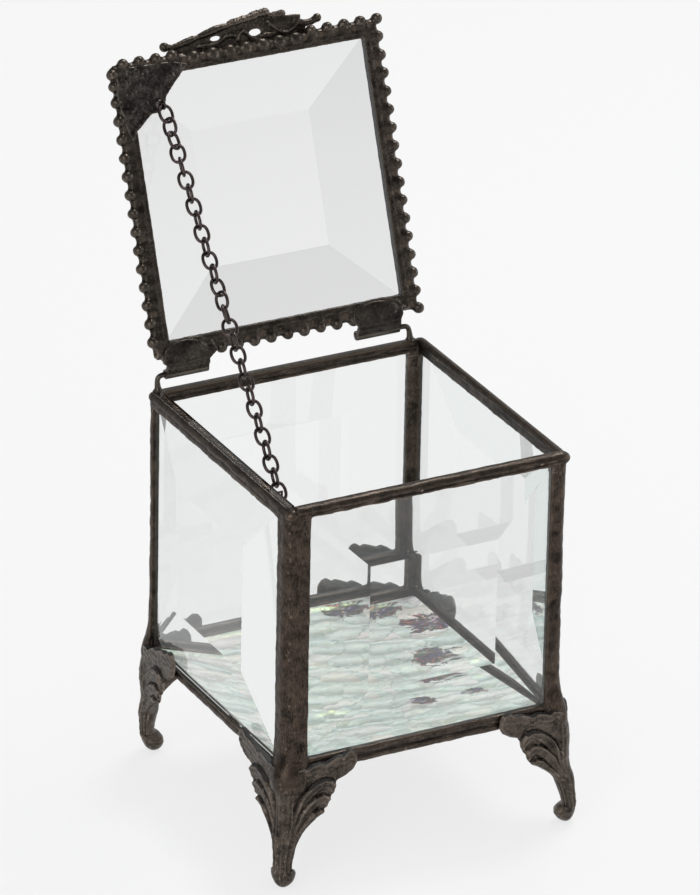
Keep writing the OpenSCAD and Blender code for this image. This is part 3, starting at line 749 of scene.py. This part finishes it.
def seam(k, corner):
    """Rounded solder bead up a corner, drawn out over the foot."""
    degrees = SIDES[k][1]
    much, high, low_end = SEAMS[k]
    rings = []
    base = corner_ring(k)
    for z in [low_end + up for up in (0.1, 0.5, 1.2)] + span(low_end + 2, Z_RIM - 2, 0.9):
        ring = []
        end = smooth(z, low_end, low_end + 3.2) if k else sqrt(min(1, (z - low_end) / 2.2))
        swell = much * exp(-(((z - STAND) / (high if z > STAND or k else 9)) ** 2))
        for x, y in base:
            outside = min(1, max(0, (2.2 - x - y) / 3)) if min(x, y) < 0.2 else 0
            near = exp(-((x - y) / (4.6 if k else 6.4)) ** 2)
            w = 0.2 * ripple(x + degrees, y, z, 6.5, 2) + 0.12 * ripple(x, y + degrees, z, 2.2, 7)
            push = (swell * near + w) * outside
            d = hypot(x - 1.5, y - 1.5) or 1
            px, py = x + push * (x - 1.5) / d, y + push * (y - 1.5) / d
            if z < low_end + 3.2:  # rounded lower end, in front of the foot only
                px, py = (-1.2 + (v + 1.2) * (0.25 + 0.75 * end) for v in (px, py))
            ring.append((max(px - HALF, 0.03 - CAD_LIMIT), max(py - HALF, 0.03 - CAD_LIMIT), z))
        rings.append(ring)
    weld("solder_seam_" + corner, [loft(rings)], turned(degrees), "box", SOLDER, ["seam_" + corner],
         voxel=0.26, soften=3, size=1.8,
         hidden=lambda c, n: in_pane(-c[:, 1]) & (n[:, 0] > 0.5) | in_pane(-c[:, 0]) & (n[:, 1] > 0.5))


def frame_weld(name, kind):
    """The four bars round the top or the foot of the walls, run together over the seams at the corners."""
    rim = kind == "rim"
    if rim:
        stub_rings = (Z_RIM - 9, -0.35), (Z_RIM - 6.5, -0.12), (Z_RIM - 4, 0.06), (Z_RIM - 2.2, 0.1)
    else:
        stub_rings = (Z_WALL - 2.2, 0), (Z_WALL + 1.5, 0.05), (Z_WALL + 4, -0.1), (Z_WALL + 6.5, -0.35)
    shapes = []
    for k, (side, degrees) in enumerate(SIDES):
        turn = spin(degrees)
        rings = []
        for x in span(-HALF - 0.6, HALF + 0.6, 0.6):
            pts = []
            for t, z in across(side, kind):
                w = 0.13 * ripple(x + 3 * degrees, t, z, 5, 1) + 0.09 * ripple(x - degrees, t, z, 1.5, 4)
                pts.append(tuple(turn @ Vector((x, -HALF - t - w * (1 if t > 1 else -0.5), z - 0.6 * w))))
            rings.append(pts)
        shapes.append(loft(rings))
        # the end of the seam, swelling into the bars
        shapes.append(loft([[tuple(turn @ Vector((x - HALF, y - HALF, z))) for x, y in corner_ring(k, flare)]
                            for z, flare in stub_rings]))
        if rim:
            here, before = WALLS[side], WALLS[SIDES[k - 1][0]]
            z = Z_RIM - 1.75 - 0.5 * max(here[3], before[3])
            at = turn @ Vector((-HALF - before[1] * 0.42, -HALF - here[1] * 0.42, z))
            shapes.append(ball(at, 1.7, (1.15, 1.15, 0.95)))
    up = -1 if rim else 1
    obj = weld(name, shapes, BOX, "box", SOLDER_X, ["%s_%s" % (kind, side) for side, _ in SIDES],
               wander=0.05, hidden=lambda c, n: in_pane(np.abs(c[:, :2]).max(1)) & (n[:, 2] * up > 0.5))
    for m in (SOLDER_Y, SOLDER):
        obj.data.materials.append(m)
    for f in obj.data.polygons:
        if f.material_index:
            continue
        x, y = abs(f.center.x / MM), abs(f.center.y / MM + Y_MID)
        if min(x, y) > HALF - 0.6 and Z_WALL + 0.8 < f.center.z / MM < Z_RIM - 1.6:
            f.material_index = 3
        elif x > y:
            f.material_index = 2


def four(x, y, left=0, right=0, low=0, high=0):
    """Corners of a rectangle x and y out from the middle, moved in on each side."""
    return [(-x + left, -y + low), (x - right, -y + low), (x - right, y - high), (-x + left, y - high)]


def strip_frame(name, x, y, inset, z, place, body, node_name):
    """Copper foil folded over a pane's edge: a thin frame, inset by (left, right, low, high)."""
    verts = [(*p, h) for h in (z, z + 0.06) for p in four(x, y) + four(x, y, *inset)]
    faces = []
    for i in range(4):
        j = (i + 1) % 4
        faces += [(i, j, 4 + j, 4 + i), (8 + i, 12 + i, 12 + j, 8 + j), (i, 8 + i, 8 + j, j),
                  (4 + i, 4 + j, 12 + j, 12 + i)]
    piece(name, (verts, faces), place, body, FOIL, [node_name])


def base_pane():
    """The rippled pane under the walls."""
    n, half = 150, BASE_HALF - FOIL_T
    top, low = Z_WALL - FOIL_T, STAND + SKIN + FOIL_T
    verts = []
    for j in range(n + 1):
        for i in range(n + 1):
            x, y = -half + 2 * half * i / n, -half + 2 * half * j / n
            edge = smooth(half - max(abs(x), abs(y)), 3.4, 6)
            r = ripple(x + 0.35 * y, y * 1.5, 0, 6.5, 3) + 0.5 * ripple(x, y * 1.7, 2, 3, 9)
            verts.append((x, y, top - edge * (0.45 - 0.55 * r * (0.6 + 0.4 * r))))
    row = n + 1
    faces = [(a, a + 1, a + row + 1, a + row) for j in range(n) for a in range(j * row, j * row + n)]
    rim = [*range(row), *(j * row + n for j in range(1, row)), *(n * row + i for i in range(n - 1, -1, -1)),
           *(j * row for j in range(n - 1, 0, -1))]
    k, m = len(verts), len(rim)
    verts += [(verts[v][0], verts[v][1], low) for v in rim]
    faces += [(rim[i], rim[(i + 1) % m], k + (i + 1) % m, k + i) for i in range(m)]
    faces.append(tuple(k + i for i in range(m))[::-1])
    piece("rippled_base_pane", (verts, faces), BOX, "box", PEARL, ["base_glass"],
          smooth=60)


def bevelled_pane(name, width, height, place, body, node_name, thin=0, facet_shades=None, bevels=(BEVEL_W,) * 4):
    """A pane with a flat back at z = 0 and four ground bevels (low, right, high, left) round its middle."""
    x, y, (low, right, high, left) = width / 2, height / 2, bevels
    outer = four(x, y)
    verts = [(*p, 0) for p in outer] + [(*p, PANE_EDGE - thin) for p in outer]
    verts += [(*p, PANE_MID - thin) for p in four(x, y, left, right, low, high)]
    faces = [(0, 1, 2, 3), (8, 9, 10, 11)]
    faces += [(k + i, k + (i + 1) % 4, k + 4 + (i + 1) % 4, k + 4 + i) for k in (0, 4) for i in range(4)]
    obj = piece(name, (verts, faces), place, body, GLASS, [node_name], smooth=1)
    for i in range(4):
        # painted shade: the bevels take the darker BEVEL glass, or with facet_shades a darker glass of their
        # own each
        bevel = BEVEL
        if facet_shades:
            bevel = clear_glass("%s_bevel_%d" % (name, i), tuple(0.93 * facet_shades[i] * c for c in (0.995, 1, 1)))
        obj.data.materials.append(bevel)
        obj.data.polygons[6 + i].material_index = 1 + i
    obj.visible_shadow = False


def panes():
    wall = (2 * (HALF - FOIL_T - CORNER_GAP), Z_GLASS - Z_WALL - 2 * FOIL_T)
    stand_up = shift(0, -HALF - FOIL_T, (Z_GLASS + Z_WALL) / 2) @ spin(90, "X")
    wide, high = wall[0] / 2 + 0.04, wall[1] / 2 + 0.04
    for side, degrees in SIDES:
        place = turned(degrees) @ stand_up
        bevelled_pane("pane_" + side, *wall, place, "box", side + "_glass", THIN[side])
        top, low, first, last = WALLS[side][0]
        inset = (max(first - 0.7, 0.3), max(last - 0.7, 0.3), max(low - 0.3, 0.15), top - 0.3)
        strip_frame("foil_" + side, wide, high, inset, -0.09, place, "box", side + "_foil")
    lid, back = 2 * (HALF - FOIL_T), UNDER + SKIN + FOIL_T
    # the lid's four bevels carry painted shade, darker on some facets than on others
    bevelled_pane("pane_lid", lid, lid, LID_PANE @ shift(0, 0, back), "lid", "lid_glass",
                  facet_shades=(0.97, 0.87, 0.77, 0.95), bevels=(19.6, 21.2, 20, 20))
    edge = HALF + 0.02
    strip_frame("foil_lid", edge, edge, (3.3,) * 4, back - 0.08, LID_PANE, "lid", "lid_foil")
    edge = BASE_HALF - 0.05
    strip_frame("foil_base", edge, edge, (3.2,) * 4, Z_WALL - FOIL_T + 0.01, BOX, "box", "base_foil")


# ---------------------------------------------------------------- lid trim
def even_beads(first, last):
    return [(k - BEAD_N / 2) * 2 * BEAD_LINE / BEAD_N for k in range(first, last + 1)]


# each row of beads: the corner by the chain is crowded and the one below it has lost its bead
BEADS = {
    "front": [-35.5, -30.7, -25.9, -21.2, -15.4] + [x + 0.2 for x in even_beads(6, BEAD_N)],
    "right": even_beads(1, BEAD_N - 1),
    "back": even_beads(0, 0) + even_beads(4, BEAD_N - 4),
    "left": even_beads(1, BEAD_N - 2) + [33.6, 36.7],
}


def border(side, degrees):
    """One side of the lid's edging: a flat band by the glass, then ripples that swell out into the beads."""
    beads = BEADS[side]
    inner, n_v = HALF - FOIL_W, 24

    def covered(x):
        """Whether the scroll lies over the edging here."""
        return side == "front" and -17.5 < x < 19

    rings = []
    for x in span(-HALF - 0.4, HALF + 0.4, 0.4):
        swell = sum(exp(-(((x - b) / 1.3) ** 2)) for b in beads)
        bulges = sum(exp(-(((x - b) / 1.35) ** 2)) for b in beads if not covered(b))
        outer = HALF + (0.5 if covered(x) else 0.95) + 0.75 * bulges
        low, high = [], []
        for k in range(n_v + 1):
            v = inner + (outer - inner) * k / n_v
            a = (v - inner) / (outer - inner)
            roll = smooth(a, 0.28, 0.5)
            ridge = exp(-(((a - 0.3) / 0.07) ** 2))
            fall = smooth(a, 0.74, 1) ** 2
            low.append((x, -v, UNDER + 0.16 - 0.14 * ridge + roll * (0.2 - 0.42 * swell) + 0.95 * fall))
            crown = LID_TOP + BULGE - 0.5 * smooth(a, 0.3, 1)
            high.append((x, -v, crown - roll * (0.4 - 0.6 * swell) - fall))
        rings.append(low + high[::-1])
    shapes = [loft(rings)]
    for k, b in enumerate(beads):
        if covered(b):
            shapes.append(ball((b, -HALF + 0.75, UNDER + 0.95), 1, (2.15, 2, 1.45)))
        else:
            r = BEAD_R * (1 + 0.06 * ripple(k, degrees, 0, 1.3, 1))
            shapes.append(ball((b, -BEAD_LINE + 0.15, BEAD_Z - 0.42), r))
    verts, faces = merged(shapes)
    turn = spin(degrees)
    return [tuple(turn @ Vector(v)) for v in verts], faces


def from_hinge(points, middle=0):
    """Points given as across and out from the hinge line, in the closed lid's own frame or its pane's."""
    return [(x, middle - e) for x, e in points]


def edging():
    shapes = [border(*side) for side in SIDES]
    for x, y in ((-1, -1), (1, -1), (1, 1), (-1, 1)):
        shapes.append(ball((x * (HALF - 0.6), y * (HALF - 0.6), BEAD_Z + 0.1), 1.5, (1, 1, 0.85)))
    # solder drawn over the corner plate and the roots of the leaves, and a fillet where a bead is missing
    for low, high, outline in (
        (-0.02, 2.4, [(-36.5, 7.6), (-39.3, 10.6), (-39.5, 8.8), (-38.4, 5.8), (-36.4, 3.2), (-34.5, 4)]),
        (-0.24, 0.9, [(-37, 5), (-34.5, 8.2), (-30, 9), (-25.5, 8.4), (-22.4, 6.8), (-21.6, 5.2), (-26, 4.4),
                      (-33, 4.2)]),
        (-0.24, 0.9, [(19.2, 5.2), (20.4, 7.6), (23.5, 8.9), (28.5, 9.1), (32.5, 8), (34.8, 5.4), (30, 4.4),
                      (23, 4.4)]),
    ):
        shapes.append(slab(from_hinge(outline, LID_MID), UNDER + low, UNDER + high))
    names = [kind + side for kind in ("lid_border_", "beads_") for side, _ in SIDES]
    weld("beaded_edging", shapes, LID_PANE, "lid", EDGING, names, wander=0.09, size=1.7,
         hidden=lambda c, n: (np.abs(c[:, :2]).max(1) < HALF - 3.2) & (np.abs(n[:, 2]) < 0.8))


def chain_corner():
    """Sheet and lumpy solder over the corner that carries the chain."""
    plan = [(-17, 79.4), (-19, 77.9), (-25, 72), (-25.5, 70), (-26.5, 68.6), (-28.2, 68), (-29.6, 68.2),
            (-34.7, 64.2), (-35.6, 62.4), (-36.4, 62), (-37.2, 64), (-38.4, 70), (-38.8, 75), (-38.4, 79.6),
            (-36.8, 81), (-34, 81.3), (-28, 81), (-21.5, 80.8)]
    shapes = [slab(from_hinge(plan), UNDER - 0.06, UNDER + 0.9),
              ball((-31.5, -74.8, UNDER + 0.3), 1, (7.5, 6.5, 0.62), 16, 40)]
    # lumps: across, out from the hinge, radius, height
    for x, e, r, h in ((-32.5, 76, 1.1, 0.6), (-31.5, 75.5, 0.8, 0.7), (-35.3, 73.7, 1.2, 0.5),
                       (-27.2, 70.3, 1.3, 0.7), (-33.5, 79.2, 2.2, 0.25), (-36.6, 69, 1.6, 0.3),
                       (-23, 77.2, 1.4, 0.3), (-28.4, 73, 1.3, 0.35), (-36.9, 77, 1.7, 0.3),
                       (-20.6, 79, 1.5, 0.25), (-34.8, 70.5, 1.3, 0.3), (-30.2, 78.6, 1.5, 0.3)):
        shapes.append(ball((x, -e, UNDER - 0.12), r, (1, 1, 0.8 * h)))
    weld("chain_corner_plate", shapes, LID, "lid", PLATE, ["chain_plate"], voxel=0.22,
         soften=14, wander=0.16, size=2.3)


def hinge_leaf(side, plan, shoulder):
    """Sheet soldered over the border as a swollen shoulder, necked in and rolled round the rod."""
    lip, neck = UNDER - SHEET_T, 2.2
    body = [p for p in plan if p[1] > neck] + [(plan[-1][0], neck), (plan[0][0], neck)]
    shapes = []
    for drop, top in ((0, 5.2), (0.16, 6.2), (0.34, 7.2), (0.55, 9)):
        part = rounded(from_hinge([(x, min(e, top)) for x, e in body]), 0.4)
        shapes.append(slab(part, lip + drop, lip + SHEET_T + 0.5))
    xs = [p[0] for p in plan if p[1] < 3.2]
    x0, x1 = min(xs), max(xs)
    fall = [(2.9, lip + 0.05), (1.2, lip + 0.45), (-0.2, -BARREL_R + 0.05), (-1.25, -0.45), (-0.5, 0.1),
            (0.9, -0.3), (2.9, lip + 0.75)]
    shapes.append(loft([[(x, -e, z) for e, z in fall] for x in span(x0, x1, 1)]))
    x, e, w, h = shoulder
    shapes.append(ball((x, -e, lip + 0.25), 1, (w, h, 0.95), 14, 22))
    weld("hinge_leaf_sheet_" + side, shapes, LID, "lid", HINGE, ["hinge_leaf_" + side],
         voxel=0.18, size=1)
    # the rolled barrel stays open at its ends
    turns = [2 * pi * k / 28 for k in range(28)]
    half = [(0.15, ROD_R + 0.1), (0, ROD_R + 0.22), (0, BARREL_R - 0.1), (0.12, BARREL_R)]
    rings = [[(x, r * cos(t), r * sin(t)) for t in turns]
             for x, r in [(x0 + d, r) for d, r in half] + [(x1 - d, r) for d, r in half[::-1]]]
    rings.append(rings[0])
    piece("hinge_barrel_" + side, loft(rings, closed=False), LID, "lid", HINGE)


def hinge_rod(side, sign, x_in, x_out):
    """Rod through the barrel, bent down in a round elbow into a fillet of solder on the rim."""
    path = [(x_in, 0, 0), (x_out - sign * 1.4, 0, 0), (x_out - sign * 0.35, -0.02, -0.3),
            (x_out, -0.15, -1.4), (x_out, -0.6, -3), (x_out, -0.9, -4.6)]
    shape = merged([tube(path, [ROD_R] * 4 + [ROD_R + 0.15, ROD_R + 1]),
                    ball((x_out, -0.9, -4.3), 1.5, (1.1, 1, 0.75))])
    piece("hinge_rod_bent_" + side, shape, RODS, "box", HINGE, ["hinge_rod_" + side],
          smooth=70)


def ornament():
    """Scroll on the front edge: a web with two openings, a long leaf, pitted ropes and a cupped shell."""
    z = LID_TOP + BULGE + 0.9

    def p(*pts):
        return [(x, -HALF - o, z + dz) for x, o, dz in pts]

    shapes = []
    crest = [(-20.5, 1.3), (-17.5, 2.4), (-14, 3.4), (-9, 4.8), (-5, 5.6), (-2, 6.2), (2, 6.5), (6, 6.6),
             (9, 6.2), (12, 5.4), (18, 4.6), (20, 2)]
    holes = [(-6.7, 3, 1.5, 0.5), (5, 2.75, 1.85, 0.78)]
    for x in span(-20.4, 19.6, 0.3):
        top = float(np.interp(x, *zip(*crest)))
        parts = [(-0.6, top)]
        for cx, co, rx, ro in holes:
            if abs(x - cx) < rx:
                h = ro * sqrt(1 - ((x - cx) / rx) ** 2) + 0.12
                parts = [(-0.6, co - h), (co + h, top)]
        for low, high in parts:
            outline = [(x - 0.17, -HALF - low), (x + 0.17, -HALF - low), (x + 0.17, -HALF - high),
                       (x - 0.17, -HALF - high)]
            shapes.append(slab(outline, z - 0.45, z + 0.45))
    shapes += [
        ball(p((-21.5, 3.1, 0))[0], 1.35),
        tube(p((-21, 2.9, 0), (-19.4, 2.6, 0), (-17.6, 2.9, 0), (-15.4, 3.4, -0.1), (-13, 3.9, -0.1)),
             [0.95, 0.8, 0.85, 0.95, 0.9]),
        # the leaf
        tube(p((-14.4, 3.8, -0.1), (-12, 4.1, -0.2), (-9.6, 4.6, -0.3), (-6.8, 5.3, -0.3), (-4, 5.7, -0.2),
               (-1.9, 5.7, 0)), [0.42, 0.62, 0.92, 1.02, 0.9, 0.6]),
        # folds of the web
        tube(p((-12, 1.7, -0.45), (-9.4, 1.5, -0.5), (-6.6, 1.7, -0.5), (-4.4, 2.7, -0.5)),
             [0.45, 0.5, 0.5, 0.4]),
        tube(p((-4.4, 2.9, -0.5), (-2.6, 3.3, -0.55), (-1, 2.7, -0.5)), [0.4, 0.5, 0.4]),
        tube(p((-0.3, 1.6, -0.5), (0.3, 3, -0.55), (1.3, 3.9, -0.55), (2.4, 3, -0.55), (3.3, 1.6, -0.5),
               (4.8, 1.1, -0.5)), [0.4, 0.45, 0.5, 0.45, 0.45, 0.4]),
        tube(p((7, 1.7, -0.5), (9.2, 1.6, -0.5), (11, 1.9, -0.5)), [0.6, 0.7, 0.5]),
        # right arm
        tube(p((18.4, 3.2, 0), (20, 2.7, 0), (21.8, 2.9, 0), (23.2, 3.5, 0)), [1, 0.95, 0.95, 1.05]),
        ball(p((23.6, 3.65, 0))[0], 1.2),
        # the cupped shell with its raised lip
        ball(p((13.6, 3.7, -0.3))[0], 1, (4.8, 2.1, 0.7), 14, 22),
        tube(p((8.9, 5, -0.5), (9.8, 3.7, -0.85), (11.4, 2.2, -1), (13.6, 1.3, -1.05), (15.8, 2, -0.95),
               (17.8, 3.6, -0.7), (18.4, 5, -0.4)), [0.28, 0.34, 0.36, 0.36, 0.34, 0.34, 0.36], ring=10),
        tube(p((10.4, 5.6, -0.2), (14.2, 5.4, -0.3), (18.2, 5, -0.3)), [0.35, 0.5, 0.55], ring=10),
    ]
    weld("scroll_ornament", shapes, LID_PANE, "lid", EDGING, ["lid_ornament"], voxel=0.17,
         soften=3, wander=0.08, size=0.8)
    ropes = [tube(p(*path), radii, 28, step=0.12, knurl=knurl) for path, radii, knurl in (
        (((-2, 6.2, -0.2), (0, 6.4, -0.3), (2.6, 6.7, -0.3), (5.2, 6.95, -0.2)), [0.85, 0.95, 0.95, 0.95],
         0.22),
        (((4.9, 7.15, 0), (7, 7.3, 0), (8.9, 7.42, 0)), [1.05, 1.14, 1.18], 0.24),
        (((9.8, 6.5, 0.1), (12, 6.4, 0.1), (13.6, 6.4, 0.1)), [0.7, 0.8, 1.05], 0.2),
    )]
    piece("scroll_ropes", merged(ropes), LID_PANE, "lid", CAST, smooth=80)


# ---------------------------------------------------------------- chain
def squared(v):
    """A cosine or sine drawn out towards a squarer oval."""
    return copysign(abs(v) ** 0.86, v)


def chain():
    """Oval wire links; the taut chain turns a little on its way down."""
    r = radians(OPEN)
    a = Vector((CHAIN_AX, HINGE_Y - CHAIN_AE * cos(r) + EYE_Z * sin(r),
                HINGE_Z + CHAIN_AE * sin(r) + EYE_Z * cos(r)))
    v = Vector((-HALF + CHAIN_BX, CHAIN_BY, Z_RIM - CHAIN_BZ)) - a
    pan, tilt = atan2(v.y, v.x) - pi / 2, atan2(v.z, hypot(v.x, v.y))
    place = BOX @ Matrix.Translation(a) @ (Matrix.Rotation(pan, 4, "Z") @ Matrix.Rotation(tilt, 4, "X"))
    pitch = (v.length - 2 * CHAIN_SLACK) / sum(RUNS)
    long_, wide = pitch / 2 + WIRE_R + 0.03, LINK_W / 2 - WIRE_R
    n, ring, first = 40, 12, 1
    for run, count in enumerate(RUNS, 1):
        shapes = []
        for k in range(first, first + count):
            twist = 90 * (1 - smooth(k, 12.5, 18.5)) + 80 * exp(-(k - 1) / 2.4)
            twist += 24 if k == 3 else 6 * ripple(k, 0, 0, 1.7)
            twist += 90 if k % 2 == 0 else 0
            turn = shift(0, CHAIN_SLACK + (k - 0.5) * pitch, 0) @ spin(twist, "Y")
            rings = []
            for i in range(n):
                t = 2 * pi * i / n
                at = Vector((wide * squared(cos(t)), long_ * squared(sin(t)), 0))
                out = Vector((cos(t) * long_, sin(t) * wide, 0)).normalized()
                w = WIRE_R * (1 + 0.06 * ripple(at.x, at.y, k, 1.2))
                turns = [2 * pi * j / ring for j in range(ring)]
                rings.append([tuple(turn @ (at + out * w * cos(s) + Vector((0, 0, w * sin(s)))))
                              for s in turns])
            rings.append(rings[0])
            shapes.append(loft(rings, closed=False))
        piece("chain_links_%d" % run, merged(shapes), place, "links_%d" % run, CHAIN,
              ["chain_%d" % run], smooth=180)
        first += count


for k, corner in enumerate(CORNERS):
    seam(k, corner)
frame_weld("solder_rims", "rim")
frame_weld("solder_skirts", "skirt")
base_pane()
panes()
edging()
chain_corner()
hinge_leaf("left", [(-36.3, -1.4), (-36.2, 1.5), (-37.6, 3.4), (-36.2, 5.6), (-33.2, 7.6), (-29.5, 8.4),
                    (-26, 8), (-22.6, 6.2), (-20.9, 4.2), (-22.6, 3.2), (-23.8, 2.2), (-24.1, 0.8),
                    (-23.8, -1.4)],
           (-30.6, 5.6, 6.2, 2.9))
hinge_leaf("right", [(21.1, -1.4), (20.9, 0.8), (20.2, 2.4), (18.9, 4.2), (19.3, 6.4), (21.4, 8.2),
                     (25.5, 8.7), (30, 8.3), (33.4, 6.4), (34, 4), (33, 2.4), (32.6, 0.8), (32.7, -1.4)],
           (26.2, 5.8, 6.4, 2.8))
hinge_rod("left", -1, -24.4, -38.6)
hinge_rod("right", 1, 20.6, 36.2)
ornament()
chain()
foot("cast_foot_front_left", 0, reach=1.22)
foot("cast_foot_front_right", 90)
foot("cast_foot_back_right", 180, rise=1.9)
foot("cast_foot_back_left", 270, lean=(1, 3.4), rise=1.9)


# ---------------------------------------------------------------- stage, light, camera
scene = bpy.context.scene
scene.view_settings.view_transform = "Standard"


def seen_rays(t):
    """1 for what the camera sees, also by way of metal or glass."""
    rays = node(t, "LightPath").outputs
    either = maths(t, "MAXIMUM", rays["Is Camera Ray"], rays["Is Glossy Ray"])
    return maths(t, "MAXIMUM", either, rays["Is Transmission Ray"])


def stage():
    mesh = bpy.data.meshes.new("floor")
    mesh.from_pydata([(*p, 0) for p in four(30, 30)], [], [(0, 1, 2, 3)])
    floor = bpy.data.objects.new("floor", mesh)
    scene.collection.objects.link(floor)
    floor.location.z = -0.0002
    m, t, p = new_material("pale_floor", Base_Color=grey(0.86), Roughness=0.9, Specular_IOR_Level=0)
    # the sheet grows greyer further back, which shows in the glass
    depth = node(t, "SeparateXYZ", node(t, "NewGeometry").outputs["Position"]).outputs["Y"]
    grades = ramp(t, depth, (0, 0.9), (0.2, 0.9), (0.36, 0.84), (0.6, 0.66), (1, 0.5))
    colour = mix(t, grades, (0.892, 0.892, 0.894), node(t, "LightPath").outputs["Is Camera Ray"])
    paper = node(t, "Emission", colour, Strength=1)
    share = maths(t, "MULTIPLY", seen_rays(t), 0.82)
    surface(t, node(t, "MixShader", share, p.outputs[0], paper.outputs[0]).outputs[0])
    floor.data.materials.append(m)

    world = bpy.data.worlds.new("studio")
    scene.world = world
    world.use_nodes = True
    t = world.node_tree
    t.nodes.clear()
    # a white sweep round a room that grows darker overhead
    height = node(t, "SeparateXYZ", node(t, "TexCoord").outputs["Generated"]).outputs["Z"]
    room = ramp(t, height, (0, 0.92), (0.1, 0.86), (0.3, 0.5), (0.62, 0.26), (1, 0.22))
    soft = node(t, "Background", grey(1), Strength=0.72)
    seen = node(t, "Background", room, Strength=1)
    node(t, "OutputWorld", node(t, "MixShader", seen_rays(t), soft.outputs[0], seen.outputs[0]).outputs[0])

    for name, at, aim_z, size, power in (
        ("key", (0.45, 0.3, 1), 0.08, 0.45, 6),
        ("window", (-0.75, -0.55, 0.75), 0.1, 0.7, 3.6),
        ("side", (0.95, -0.25, 0.45), 0.08, 0.6, 1.6),
    ):
        lamp = bpy.data.lights.new(name, "AREA")
        lamp.shape = "DISK"
        lamp.size = size
        lamp.energy = power
        o = bpy.data.objects.new(name, lamp)
        scene.collection.objects.link(o)
        o.location = at
        o.rotation_euler = (Vector((0, 0, aim_z)) - Vector(at)).to_track_quat("-Z", "Y").to_euler()


stage()

AZ, EL, ROLL = -0.4894, 0.446, 0.0202
TARGET = Vector((-2.394, -15.382, 99.93)) * MM
DIST = 2
SENSOR = 36
FOCAL_PX, PHOTO_PX = 7676.05, 895  # focal length and height of the photo, in pixels
back = Vector((sin(AZ) * cos(EL), -cos(AZ) * cos(EL), sin(EL)))
right = (-back).cross(Vector((0, 0, 1))).normalized()
up = right.cross(-back)
right, up = cos(ROLL) * right + sin(ROLL) * up, -sin(ROLL) * right + cos(ROLL) * up
cam_data = bpy.data.cameras.new("camera")
cam_data.sensor_fit = "VERTICAL"
cam_data.sensor_height = SENSOR
cam_data.lens = FOCAL_PX * SENSOR / PHOTO_PX
cam_data.clip_end = 100
camera = bpy.data.objects.new("camera", cam_data)
scene.collection.objects.link(camera)
camera.matrix_world = Matrix.Translation(TARGET + back * DIST) @ Matrix((right, up,
                                                                         back)).transposed().to_4x4()
scene.camera = camera
